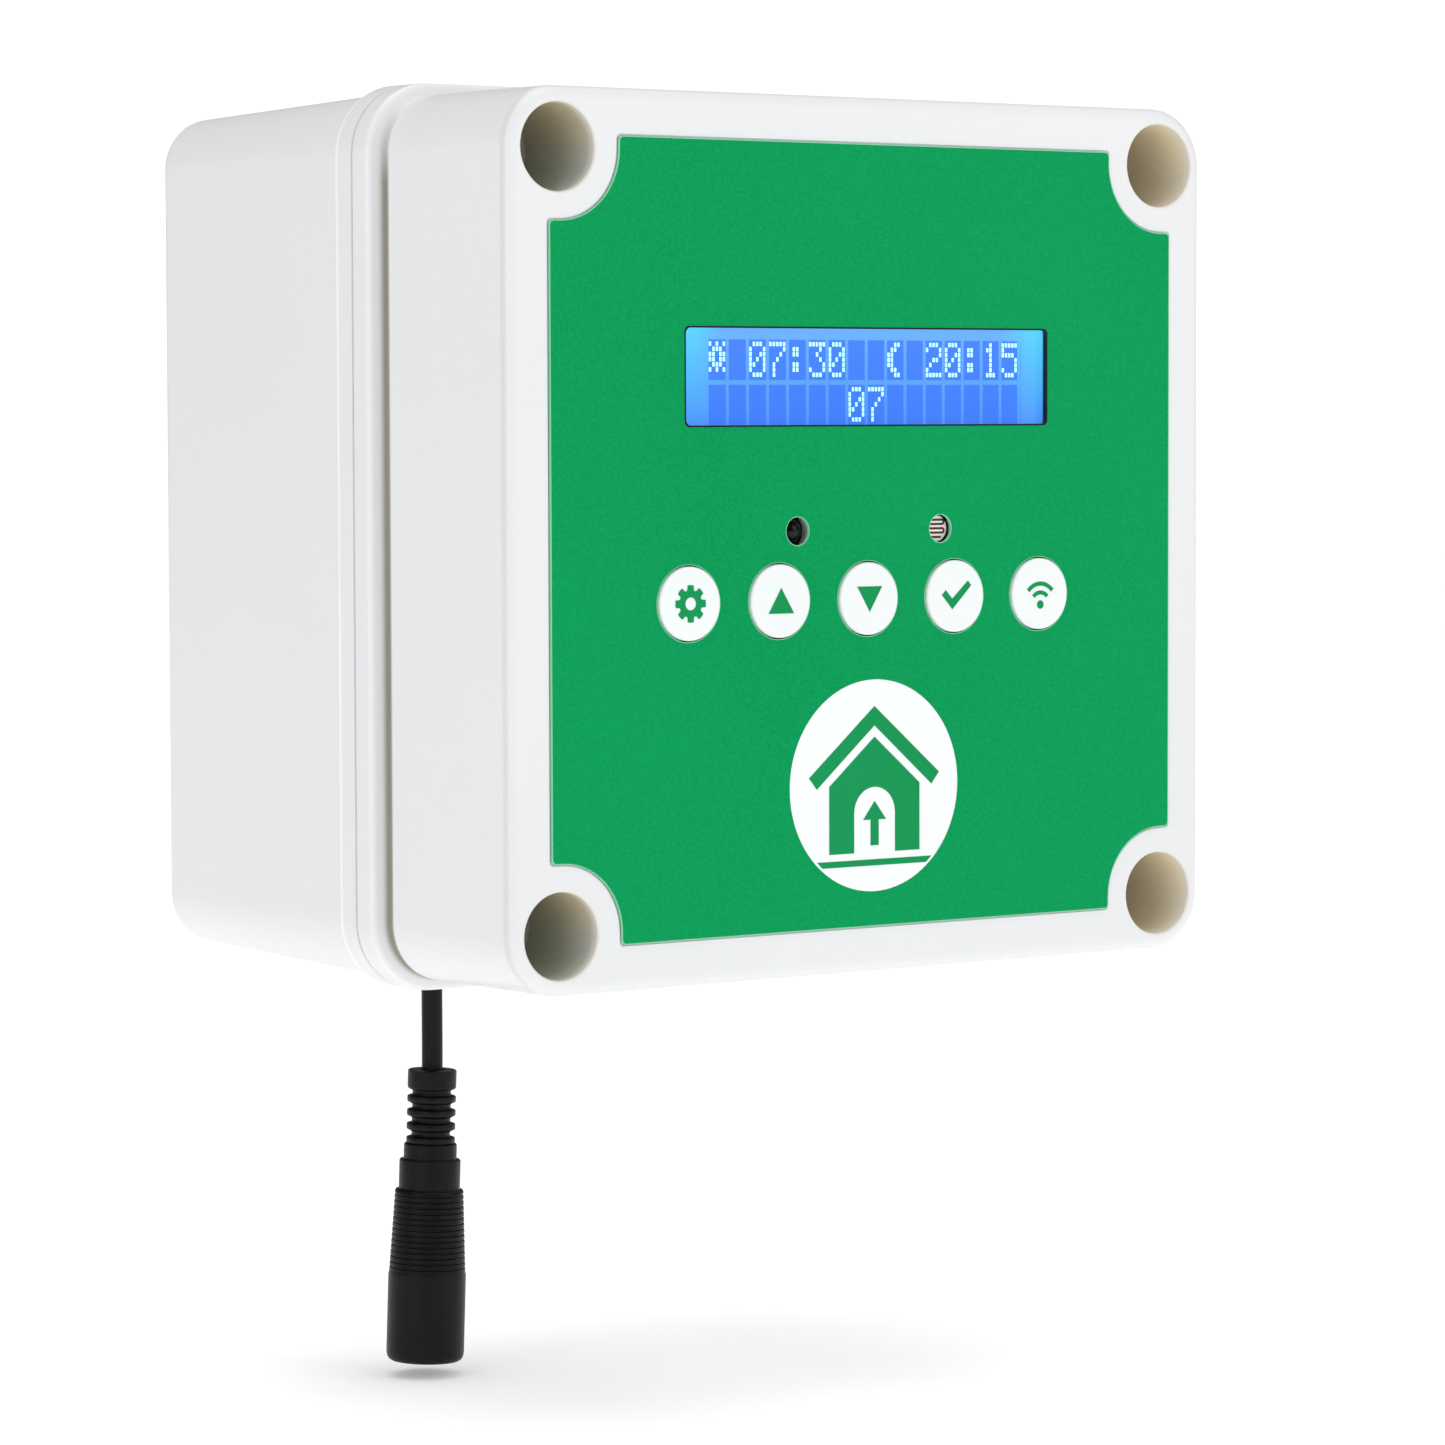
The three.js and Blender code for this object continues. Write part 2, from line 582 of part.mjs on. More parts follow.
// The gearbox outline in Y and Z, about the drum's axis, with room for both gear axes.
const gearboxOutline = (margin) => {
  const y = GEARBOX.half - margin;
  const low = AXLE.z - GEARBOX.half + margin;
  const high = IDLER_Z + GEARBOX.half - margin;
  return [[AXLE.y - y, low], [AXLE.y + y, low], [AXLE.y + y, high], [AXLE.y - y, high]];
};
const GEARBOX_SCREWS = [
  [AXLE.y - GEARBOX.half + 3, IDLER_Z + GEARBOX.half - 3],
  [AXLE.y + GEARBOX.half - 3, AXLE.z - GEARBOX.half + 3],
];

const onAxle = (body) => moved(body, 0, AXLE.y, AXLE.z);
const onIdler = (body) => moved(body, 0, AXLE.y, IDLER_Z);
const throughScrews = (radius, from, to) =>
  GEARBOX_SCREWS.map(([y, z]) => moved(rod(radius, from, to, "x", SMALL_SIDES), 0, y, z));

function gearboxCase() {
  const left = GEARBOX.split + GAP;
  const floor = GEARBOX.right - CASE_SIDE;
  const roomAt = (place) => place(rod(GEAR_ROOM, left - 1, floor, "x"));
  const between = block(
    [left - 1, AXLE.y - GEAR_ROOM, AXLE.z],
    [floor, AXLE.y + GEAR_ROOM, IDLER_Z],
  );
  return cut(
    plateAcross(gearboxOutline(0), left, GEARBOX.right),
    roomAt(onAxle),
    roomAt(onIdler),
    between,
    onAxle(rod(2, floor - 1, GEARBOX.right + 1, "x", SMALL_SIDES)),
    onIdler(rod(PIN_RADIUS + FIT, floor - 1, GEARBOX.right - 0.8, "x", SMALL_SIDES)),
    ...throughScrews(1.6, left - 1, left + 9),
  );
}

const gearboxCover = () =>
  cut(
    plateAcross(gearboxOutline(0), GEARBOX.left, GEARBOX.split),
    onAxle(rod(BUSH_RADIUS + FIT, GEARBOX.left - 1, GEARBOX.split + 1, "x")),
    onIdler(rod(PIN_RADIUS + FIT, GEARBOX.left + 0.8, GEARBOX.split + 1, "x", SMALL_SIDES)),
    ...throughScrews(1.6, GEARBOX.left - 1, GEARBOX.split + 1),
  );

const STAGE_ONE = { left: 10.8, right: 14.2 };
const STAGE_TWO = { left: 4.2, right: 8.2 };

const idlerGear = () =>
  cut(
    join(
      gear(LARGE_TEETH, STAGE_ONE.left, STAGE_ONE.right, true),
      gear(SMALL_TEETH, STAGE_TWO.left - 0.4, STAGE_ONE.left + 0.5, true),
    ),
    rod(PIN_RADIUS + FIT, 0, 20, "x", SMALL_SIDES),
  );

const outputGear = () =>
  cut(gear(LARGE_TEETH, STAGE_TWO.left, STAGE_TWO.right), rod(SHAFT_RADIUS + FIT, 0, 20, "x"));

const outputShaft = () =>
  cut(
    rod(SHAFT_RADIUS, DRUM.left, STAGE_TWO.right + 1, "x"),
    rod(1.5, DRUM.left - 1, DRUM.left + 10, "x", SMALL_SIDES),
  );

const motorPinion = () =>
  join(
    gear(SMALL_TEETH, STAGE_ONE.left - 0.4, STAGE_ONE.right + 0.8),
    rod(1, STAGE_ONE.right, CAN.left + 4, "x", SMALL_SIDES),
  );

// The motor's can with its tail boss and two solder tabs, bored for the shaft.
function motorCan() {
  const { left, right, radius } = CAN;
  const can = turned(
    [[0, left], [radius - 0.8, left], [radius, left + 0.8], [radius, right], [radius - 1.6, right + 1.6],
      [3, right + 1.6], [3, right + 3.4], [0, right + 3.4]],
    "x",
  );
  const tab = (side) => block([right, side * 6 - 0.4, -1.5], [right + 5, side * 6 + 0.4, 1.5]);
  return cut(join(can, tab(-1), tab(1)), rod(1.4, left - 1, left + 5, "x", SMALL_SIDES));
}

// The drum that the lift cord winds on: a hub between two flanges, one of them drilled for the cord's end.
function cordDrum() {
  const { left, right, radius, flange, flangeThick } = DRUM;
  const bore = SHAFT_RADIUS + FIT;
  const body = turned(
    [[bore, left], [flange, left], [flange, left + flangeThick], [radius, left + flangeThick + 1.2],
      [radius, right - flangeThick - 1.2], [flange, right - flangeThick], [flange, right], [bore, right],
      [bore, left]],
    "x",
  );
  return cut(body, moved(rod(1.2, left - 1, left + 5, "x", SMALL_SIDES), 0, 0, 12.5));
}

// An angle plate: one leg between the gearbox and the drum, one leg on the bosses of the back wall.
function motorBracket() {
  const right = GEARBOX.left - THIN_GAP;
  const left = right - 2;
  const footBack = BRACKET_BOSS_FRONT - GAP;
  const footFront = footBack - 2;
  const [[, low], , [, high]] = gearboxOutline(0);
  const front = AXLE.y - GEARBOX.half;
  const side = [[front, low], [footBack, low], [footBack, high], [front, high]];
  const upright = plateAcross(side, left, right);
  const foot = block([left, footFront, low - 9], [16, footBack, high + 9]);
  const footHoles = BRACKET_SCREWS.z.map((z) =>
    moved(rod(1.9, footFront - 1, footBack + 1, "y", SMALL_SIDES), BRACKET_SCREWS.x, 0, z),
  );
  return cut(
    join(upright, foot),
    onAxle(rod(6, left - 1, right + 1, "x")),
    ...throughScrews(1.6, left - 1, right + 1),
    ...footHoles,
  );
}

const turning = new THREE.Group();
turning.position.set(0, AXLE.y, AXLE.z);
opener.add(turning);
const HERE = [0, 0, 0];
add("gearbox_case", gearboxCase(), gearboxGrey);
add("gearbox_cover", gearboxCover(), gearboxGrey);
const bush = ring(SHAFT_RADIUS + FIT, BUSH_RADIUS, GEARBOX.left - 1.8, GEARBOX.split, "x");
add("shaft_bush", bush, brass, HERE, turning);
add("idler_pin", rod(PIN_RADIUS, 0.6, 17.2, "x", SMALL_SIDES), steel, [0, 0, GEAR_SPACING], turning);
add("idler_gear", idlerGear(), nylon, [0, 0, GEAR_SPACING], turning);
add("output_gear", outputGear(), steel, HERE, turning);
add("output_shaft", outputShaft(), steel, HERE, turning);
add("motor_pinion", motorPinion(), brass, HERE, turning);
add("motor_can", motorCan(), zinc, HERE, turning);
add("cord_drum", cordDrum(), nylon, HERE, turning);
add("motor_bracket", motorBracket(), zinc);

// The drum's screw turns with the shaft; its head is on the drum's left face.
const sideways = (body) => body.rotate([0, 0, -90]);
const drumScrew = sideways(panScrew(4, 2.2, 1.2, 8));
add("drum_screw", drumScrew, steel, [DRUM.left - THIN_GAP, 0, 0], turning);
const bracketScrew = panScrew(3.2, 2.2, 1.5, 5);
BRACKET_SCREWS.z.forEach((z, i) => {
  const place = [BRACKET_SCREWS.x, BRACKET_BOSS_FRONT - GAP - 2 - THIN_GAP, z];
  add(`bracket_screw_${i + 1}`, bracketScrew, steel, place);
});
const gearboxScrew = sideways(panScrew(2.6, 1.8, 1.3, 11));
GEARBOX_SCREWS.forEach(([y, z], i) => {
  add(`gearbox_screw_${i + 1}`, gearboxScrew, steel, [GEARBOX.left - 2 - 2 * THIN_GAP, y, z]);
});

// ----------------------------------------------------------------------------------------------------
// Cord outlet, power lead and barrel socket

const BOTTOM_INSIDE = -(INSIDE_HALF - 0.8);
const BOTTOM_OUTSIDE = -63.05; // just under the case's floor where the bush is
const GROMMET_NOSE = -67.4;

// A flanged bush with a smooth bore that the lift cord runs through.
const cordBush = () => {
  const bore = CORD_HOLE.radius;
  const top = BOTTOM_INSIDE + GAP;
  const low = BOTTOM_OUTSIDE - GAP;
  return turned(
    [[bore, low - 0.8], [bore + 0.8, low - 1.4], [8, low - 1.4], [8, low], [CORD_BUSH_NECK, low],
      [CORD_BUSH_NECK, top], [8, top], [8, top + 1.2], [bore + 0.8, top + 1.2], [bore, top + 0.6],
      [bore, low - 0.8]],
    "z",
  );
};

// A rubber grommet with a short nose that grips the power lead.
const leadGrommet = () => {
  const bore = LEAD.radius + 0.3;
  const top = BOTTOM_INSIDE + GAP;
  const low = BOTTOM_OUTSIDE - GAP;
  return turned(
    [[bore, GROMMET_NOSE], [bore + 0.8, GROMMET_NOSE], [bore + 1.7, low - 1.5], [6, low - 1.5], [6, low],
      [GROMMET_NECK, low], [GROMMET_NECK, top], [6, top], [6, top + 1.3], [bore, top + 1.3],
      [bore, GROMMET_NOSE]],
    "z",
    SMALL_SIDES,
  );
};

// The socket, from the top of its strain relief down to its mouth: heights are below the top.
const RELIEF = { radius: 3.66, neck: 2.9, pitch: 2.07, ribs: 4 };
const STEP_ONE = { from: 10.9, radius: 3.98 };
const STEP_TWO = { from: 13.5, radius: 4.6 };
const GRIP = { from: 18.1, to: 30.3, top: 5.15, low: 5.7 };
const SOCKET_BODY = { radius: 5.84, to: 43.9, round: 1 };
const SOCKET_BORE = { radius: 1.95, depth: 15.5 };
const MOUTH = { radius: 3.3, depth: 10.5 };

function socketBody() {
  const relief = [[RELIEF.radius, 0], [RELIEF.radius, 2.9]];
  for (let rib = 0; rib < RELIEF.ribs; rib++) {
    const from = 3.9 + rib * RELIEF.pitch;
    const to = Math.min(from + 1, STEP_ONE.from);
    relief.push([RELIEF.neck, from - 0.8], [RELIEF.neck, from - 0.1]);
    relief.push([RELIEF.radius, from], [RELIEF.radius, to]);
  }
  const profile = [
    [SOCKET_BORE.radius, 0],
    ...relief,
    [STEP_ONE.radius, STEP_ONE.from + 0.2],
    [STEP_ONE.radius, STEP_TWO.from - 0.1],
    [STEP_TWO.radius, STEP_TWO.from + 0.1],
    [STEP_TWO.radius, GRIP.from - 0.1],
    [GRIP.top, GRIP.from + 0.1],
    [GRIP.low, GRIP.to],
    [SOCKET_BODY.radius, GRIP.to + 0.3],
    [SOCKET_BODY.radius, SOCKET_BODY.to - SOCKET_BODY.round],
    [SOCKET_BODY.radius - 0.35, SOCKET_BODY.to - 0.3],
    [SOCKET_BODY.radius - SOCKET_BODY.round, SOCKET_BODY.to],
    [MOUTH.radius, SOCKET_BODY.to],
    [MOUTH.radius, SOCKET_BODY.to - MOUTH.depth],
    [0, SOCKET_BODY.to - MOUTH.depth],
    [0, SOCKET_BORE.depth],
    [SOCKET_BORE.radius, SOCKET_BORE.depth],
    [SOCKET_BORE.radius, 0],
  ];
  return turned(profile.map(([radius, down]) => [radius, -down]), "z", 16);
}

const mouthTop = -(SOCKET_BODY.to - MOUTH.depth);
const socketPin = () =>
  turned(
    [[0, mouthTop - 0.2], [3.1, mouthTop - 0.2], [3.1, mouthTop - 1.2], [1, mouthTop - 1.2],
      [1, mouthTop - 8.6], [0.6, mouthTop - 9], [0, mouthTop - 9]],
    "z",
    SMALL_SIDES,
  );
const socketSleeve = () => ring(2.75, 3.1, mouthTop - 1.5, mouthTop - 9.8, "z", SMALL_SIDES);

const socket = new THREE.Group();
socket.position.set(LEAD.x, LEAD.y, SOCKET_TOP);
socket.rotation.y = SOCKET_LEAN;
opener.add(socket);
add("dc_socket", socketBody(), softBlack, HERE, socket);
add("dc_socket_pin", socketPin(), zinc, HERE, socket);
add("dc_socket_sleeve", socketSleeve(), zinc, HERE, socket);

// The lead's jacket: straight down out of the grommet, then in line with the leaning socket.
const alongSocket = (down) => [
  LEAD.x - down * Math.sin(SOCKET_LEAN),
  LEAD.y,
  SOCKET_TOP - down * Math.cos(SOCKET_LEAN),
];
const leadRoute = [
  [LEAD.x, LEAD.y, -60],
  [LEAD.x, LEAD.y, -66],
  [LEAD.x, LEAD.y, -72],
  [LEAD.x, LEAD.y, -76.5],
  alongSocket(0.5),
  alongSocket(5),
  alongSocket(10),
  alongSocket(15),
];
add("cord_bush", cordBush(), softBlack, [CORD_HOLE.x, CORD_HOLE.y, 0]);
add("lead_grommet", leadGrommet(), rubber, [LEAD.x, LEAD.y, 0]);
add("power_lead", tube(leadRoute, LEAD.radius, 10), softBlack);

// Wires inside the case, from the lead's jacket and from the motor to the board's terminals.
const powerWire = [
  [LEAD.x, LEAD.y, -59.6],
  [LEAD.x, LEAD.y - 1, -52],
  [LEAD.x + 1, LEAD.y - 12, -38],
  [LEAD.x + 2, LEAD.y - 28, -30],
  [POWER_TERMINAL[0], POWER_TERMINAL[1] + 9.4, POWER_TERMINAL[2]],
];
const motorWire = [
  [CAN.right + 5.6, AXLE.y, AXLE.z],
  [CAN.right + 7, AXLE.y - 6, AXLE.z - 2],
  [46, -54, AXLE.z - 12],
  [20, -60, -29],
  [0, -59, -31],
  [MOTOR_TERMINAL[0], -62, -28],
  [MOTOR_TERMINAL[0], MOTOR_TERMINAL[1] + 9.4, MOTOR_TERMINAL[2]],
];
add("power_wire", tube(powerWire, 1, 14), softBlack);
add("motor_wire", tube(motorWire, 1, 24), softBlack);

export default opener;
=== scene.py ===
# %% [markdown]
# # The wall unit of an automatic coop door
# A square sealed box opens and closes a hen house. Its front carries a display, five buttons and a
# light sensor, and a short power lead hangs out of its floor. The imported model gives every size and
# every moving body. This lesson builds the surfaces that the eye sees around that frame, one piece
# at a time, and gives each a finish.

# %% Load the frame
import json
import math

import bmesh
import bpy
from mathutils import Matrix, Vector


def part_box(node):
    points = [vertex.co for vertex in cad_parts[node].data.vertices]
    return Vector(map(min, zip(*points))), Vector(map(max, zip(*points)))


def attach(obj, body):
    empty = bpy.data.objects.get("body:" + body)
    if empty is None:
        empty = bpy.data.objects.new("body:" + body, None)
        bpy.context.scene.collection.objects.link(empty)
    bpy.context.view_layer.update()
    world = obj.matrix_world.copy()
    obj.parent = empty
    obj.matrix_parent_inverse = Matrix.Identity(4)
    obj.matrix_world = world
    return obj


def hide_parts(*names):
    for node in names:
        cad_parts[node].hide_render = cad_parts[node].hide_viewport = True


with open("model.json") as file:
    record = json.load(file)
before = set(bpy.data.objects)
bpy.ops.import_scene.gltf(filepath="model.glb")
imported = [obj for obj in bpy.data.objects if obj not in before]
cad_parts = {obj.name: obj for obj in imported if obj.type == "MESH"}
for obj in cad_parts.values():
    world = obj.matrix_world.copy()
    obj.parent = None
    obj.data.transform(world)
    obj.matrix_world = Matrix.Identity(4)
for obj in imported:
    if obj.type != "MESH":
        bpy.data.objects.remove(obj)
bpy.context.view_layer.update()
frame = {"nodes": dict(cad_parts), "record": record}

scene = bpy.context.scene

# %% [markdown]
# ## Camera
# A long lens, 0.8 m away, keeps the box's sides nearly parallel. The camera stands to the left of
# the box, near its middle height, and looks down a little, so the front and the left side show.

# %% Place the camera
EYE_SPOT = (-0.46956, -0.69621, 0.01833)
HEADING = math.radians(-36.337)  # turned towards +X
DIP = math.radians(3.363)  # below level
TILT = math.radians(-0.166)
LENS, FILM = 133.06, 36  # millimetres

eye = bpy.data.cameras.new("product_camera")
eye.lens = LENS
eye.sensor_width = FILM
eye.sensor_height = FILM
eye.clip_start = 0.01
camera = bpy.data.objects.new("product_camera", eye)
scene.collection.objects.link(camera)
camera.matrix_world = (
    Matrix.Translation(EYE_SPOT)
    @ Matrix.Rotation(HEADING, 4, "Z")
    @ Matrix.Rotation(math.pi / 2 - DIP, 4, "X")
    @ Matrix.Rotation(TILT, 4, "Z")
)
scene.camera = camera
print("camera stands at", [round(x, 3) for x in camera.location])

# %% [markdown]
# ## Making materials
# Every finish is a tree of nodes that reads Object coordinates, so nothing depends on an image or
# on how a mesh is unwrapped. Short helpers keep the trees readable: they place a node and set its
# inputs, do one step of arithmetic, mix two colours, or start a material with its Principled
# shader.

# %% Node helpers
def node(tree, kind, settings=None, **inputs):
    """A node of one kind. Settings are its own properties; inputs are values or sockets to link."""
    made = tree.nodes.new(kind)
    for key, value in (settings or {}).items():
        setattr(made, key, value)
    for key, value in inputs.items():
        numbered = key[0] == "i" and key[1:].isdigit()
        socket = made.inputs[int(key[1:]) if numbered else key.replace("_", " ")]
        if isinstance(value, bpy.types.NodeSocket):
            tree.links.new(value, socket)
        else:
            socket.default_value = value
    return made


def maths(tree, operation, *values):
    """One step of arithmetic on numbers or sockets."""
    places = {f"i{n}": value for n, value in enumerate(values)}
    return node(tree, "ShaderNodeMath", {"operation": operation}, **places).outputs[0]


def times(tree, first, second):
    return maths(tree, "MULTIPLY", first, second)


def ramp(tree, value, low=0.0, high=1.0, first=0.0, last=1.0, ease="LINEAR"):
    """A value carried from one range to another, and held at both ends."""
    made = node(
        tree, "ShaderNodeMapRange", {"interpolation_type": ease}, Value=value,
        From_Min=low, From_Max=high, To_Min=first, To_Max=last,
    )
    return made.outputs["Result"]


def paint(hex_code):
    """A colour written as in a paint chart, turned into the linear values that shaders use."""
    parts = [int(hex_code[i : i + 2], 16) / 255 for i in (1, 3, 5)]
    return [p / 12.92 if p <= 0.04045 else ((p + 0.055) / 1.055) ** 2.4 for p in parts] + [1.0]


def mix(tree, mask, first, second):
    """The first colour where the mask is 0 and the second where it is 1."""
    made = node(tree, "ShaderNodeMix", {"data_type": "RGBA"}, i0=mask, i6=first, i7=second)
    return made.outputs[2]


def start_material(name, roughness=0.5, metallic=0.0, **shader):
    """A material with its shader, and the Object coordinates that its patterns read."""
    made = bpy.data.materials.new(name)
    made.use_nodes = True
    tree = made.node_tree
    surface = tree.nodes["Principled BSDF"]
    surface.inputs["Roughness"].default_value = roughness
    surface.inputs["Metallic"].default_value = metallic
    for key, value in shader.items():
        surface.inputs[key.replace("_", " ")].default_value = value
    place = tree.nodes.new("ShaderNodeTexCoord").outputs["Object"]
    return made, tree, surface, place


def feed(surface, **sockets):
    """Links values that change over the surface to the shader's sockets."""
    for key, value in sockets.items():
        surface.id_data.links.new(value, surface.inputs[key.replace("_", " ")])


# %% [markdown]
# ## Shared effects
# Moulded, printed and cast surfaces all have a fine grain and a slow drift of tone. Both come from
# one group, so each material only picks its own scale and strength. A second group gives a soft
# band along one axis. The third draws noise out along one way, for the streaks of drawn metal.

# %% Node groups
NUMBER, VECTOR = "NodeSocketFloat", "NodeSocketVector"
SOFT = "SMOOTHSTEP"


def start_group(name, inputs, outputs):
    """A group with named sockets, and the given values and results inside it."""
    group = bpy.data.node_groups.new(name, "ShaderNodeTree")
    for label, kind, value in inputs:
        socket = group.interface.new_socket(label, in_out="INPUT", socket_type=kind)
        if value is not None:
            socket.default_value = value
    for label in outputs:
        group.interface.new_socket(label, in_out="OUTPUT", socket_type=NUMBER)
    return group, group.nodes.new("NodeGroupInput").outputs, group.nodes.new("NodeGroupOutput").inputs


def make_grain():
    """Fine grain as a height and as sharp speckles, and a slow drift of tone."""
    inputs = [("Place", VECTOR, None), ("Grain", NUMBER, 2500), ("Drift", NUMBER, 30)]
    group, given, result = start_group("surface grain", inputs, ["Height", "Speckle", "Tone"])
    fine = node(group, "ShaderNodeTexNoise", Vector=given["Place"], Scale=given["Grain"], Detail=3.0)
    slow = node(group, "ShaderNodeTexNoise", Vector=given["Place"], Scale=given["Drift"], Detail=2.0)
    group.links.new(fine.outputs["Fac"], result["Height"])
    group.links.new(ramp(group, fine.outputs["Fac"], 0.35, 0.65), result["Speckle"])
    group.links.new(slow.outputs["Fac"], result["Tone"])
    return group


def make_band():
    """A mask that is 1 between two values and fades out over a soft width beside them."""
    inputs = [("Along", NUMBER, 0.0), ("From", NUMBER, 0.0), ("To", NUMBER, 1.0), ("Soft", NUMBER, 0.001)]
    group, given, result = start_group("soft band", inputs, ["Mask"])
    along, low, high, soft = (given[label] for label, _, _ in inputs)
    rise = ramp(group, along, maths(group, "SUBTRACT", low, soft), low, ease=SOFT)
    fall = ramp(group, along, high, maths(group, "ADD", high, soft), 1.0, 0.0, SOFT)
    group.links.new(times(group, rise, fall), result["Mask"])
    return group


def make_brush():
    """Noise that is drawn out along one way."""
    inputs = [("Place", VECTOR, None), ("Stretch", VECTOR, (1.0, 1.0, 1.0))]
    group, given, result = start_group("drawn streaks", inputs, ["Streak"])
    settings = {"operation": "MULTIPLY"}
    spread = node(group, "ShaderNodeVectorMath", settings, i0=given["Place"], i1=given["Stretch"])
    lines = node(group, "ShaderNodeTexNoise", Vector=spread.outputs["Vector"], Scale=900.0, Detail=4.0)
    group.links.new(lines.outputs["Fac"], result["Streak"])
    return group


GRAIN, BAND, BRUSH = make_grain(), make_band(), make_brush()
print("node groups:", [g.name for g in bpy.data.node_groups])


# %% Use the shared effects
def grain(tree, place, size, drift=30.0):
    settings = {"node_tree": GRAIN}
    return node(tree, "ShaderNodeGroup", settings, Place=place, Grain=size, Drift=drift).outputs


def band(tree, along, low, high, soft):
    settings = {"node_tree": BAND}
    made = node(tree, "ShaderNodeGroup", settings, Along=along, From=low, To=high, Soft=soft)
    return made.outputs["Mask"]


def bump(tree, surface, height, strength, distance=0.0001):
    made = node(tree, "ShaderNodeBump", Height=height, Strength=strength, Distance=distance)
    feed(surface, Normal=made.outputs["Normal"])


def axes(tree, place):
    return node(tree, "ShaderNodeSeparateXYZ", Vector=place).outputs


def plain_finish(name, light, dark, grain_size, strength, roughness, **shader):
    """A finish of one material: two near tones drifting into each other, under a fine grain."""
    made, tree, surface, place = start_material(name, roughness, **shader)
    texture = grain(tree, place, grain_size)
    colour = mix(tree, texture["Tone"], paint(dark), paint(light))
    shine = ramp(tree, texture["Speckle"], first=roughness - 0.05, last=min(roughness + 0.06, 1.0))
    feed(surface, Base_Color=colour, Roughness=shine)
    bump(tree, surface, texture["Height"], strength)
    return made


# %% [markdown]
# ## The power lead
# A cord is a fixed length of something flexible. This one leaves the grommet straight down, hangs a
# short way and is moulded into a barrel socket, which pulls it a little to the left. One smooth
# spline with a round section is enough, and its bends are far wider than its own thickness.

# %% Lay the lead
LEAD_X, LEAD_Y = -0.0323, -0.028
LEAD_DIAMETER = 0.0032
SOCKET_TOP = -0.0805
SOCKET_LEAN = math.radians(2.16)


def along_socket(down):
    """A point on the socket's leaning axis, some way below its top."""
    return (LEAD_X - down * math.sin(SOCKET_LEAN), LEAD_Y, SOCKET_TOP - down * math.cos(SOCKET_LEAN))


FREE_HEIGHTS = [-0.0600, -0.0625, -0.0650, -0.0674, -0.0695, -0.0717, -0.0739, -0.0761, -0.0781]
ROOT, ROOT_STEP, ROOT_STEPS = 0.0012, 0.0023, 7  # the part inside the socket
route = [(LEAD_X, LEAD_Y, z) for z in FREE_HEIGHTS]
route += [along_socket(ROOT + ROOT_STEP * step) for step in range(ROOT_STEPS)]

line = bpy.data.curves.new("power_lead_jacket", "CURVE")
line.dimensions = "3D"
line.bevel_depth = LEAD_DIAMETER / 2
line.bevel_resolution = 6
line.resolution_u = 4
line.use_fill_caps = True
spline = line.splines.new("NURBS")
spline.points.add(len(route) - 1)
for point, spot in zip(spline.points, route):
    point.co = (*spot, 1.0)
spline.order_u = 3
spline.use_endpoint_u = True
lead = bpy.data.objects.new("power_lead_jacket", line)
scene.collection.objects.link(lead)

# %% [markdown]
# ## Finishes of the casing
# The box is moulded in a cool off-white plastic with a satin skin. Light and shade are painted into
# its colour: the groove in front of the rim is painted brown-grey as shade, fading out towards the
# top, and the screw wells carry painted shade from tan to olive. A beige line of painted shade runs
# along the front round on the two sides, and the rim's two outer edges carry painted highlights. A
# band along Y, the box's depth, places each of them.

# %% Casing plastic
FRONT = -0.094
# Where the casing's painted shade and painted highlights lie.
GROOVE_SHADE_DEPTHS = (-0.0640, -0.0626)
RIM_HIGHLIGHTS = [(-0.0616, -0.0612, 0.35), (-0.0537, -0.0530, 0.85)]  # from, to, share
GROOVE_SHADE_FADE = (0.061, 0.05)  # heights between which the groove's tint fades in
FRONT_ROUND_SHADE = (FRONT + 0.0012, FRONT + 0.0016)
FRONT_ROUND_SHADE_SIDES = (0.057, 0.060)
WELL_OUT = 0.0541  # from the middle to a well's axis
# Where the painted light and shade inside the screw wells begin and change.
WELL_LIP = (FRONT + 0.0001, FRONT + 0.0022)
WELL_SHADE_DEPTHS = (FRONT + 0.0015, FRONT + 0.012)
WELL_LIGHT_HEIGHTS = (-0.003, 0.005)  # heights about the well's axis


def make_casing():
    coat = {"Coat_Weight": 0.12, "Coat_Roughness": 0.35}
    made, tree, surface, place = start_material("casing plastic", 0.42, **coat)
    texture = grain(tree, place, 3200.0, 14.0)
    x, y, z = axes(tree, place)
    body = mix(tree, texture["Tone"], paint("#E8E9EB"), paint("#EEEFF1"))
    # Painted shade: the groove in front of the rim is darkened to brown-grey, fading out towards the top.
    groove_shade = times(tree, band(tree, y, *GROOVE_SHADE_DEPTHS, 0.0006), ramp(tree, z, *GROOVE_SHADE_FADE))
    body = mix(tree, times(tree, groove_shade, 0.95), body, paint("#8C887A"))
    # Painted shade: a beige line along the front round, on the two sides only.
    beside = ramp(tree, maths(tree, "ABSOLUTE", x), *FRONT_ROUND_SHADE_SIDES)
    edge = times(tree, band(tree, y, *FRONT_ROUND_SHADE, 0.0005), beside)
    body = mix(tree, times(tree, edge, 0.5), body, paint("#D8D3C6"))
    # Painted highlights: the rim's two outer edges are lightened to near white.
    for low, high, share in RIM_HIGHLIGHTS:
        rim_highlight = times(tree, band(tree, y, low, high, 0.0005), share)
        body = mix(tree, rim_highlight, body, paint("#FDFDFD"))
    feed(surface, Base_Color=body, Roughness=ramp(tree, texture["Speckle"], first=0.38, last=0.48))
    bump(tree, surface, texture["Height"], 0.06)
    return made


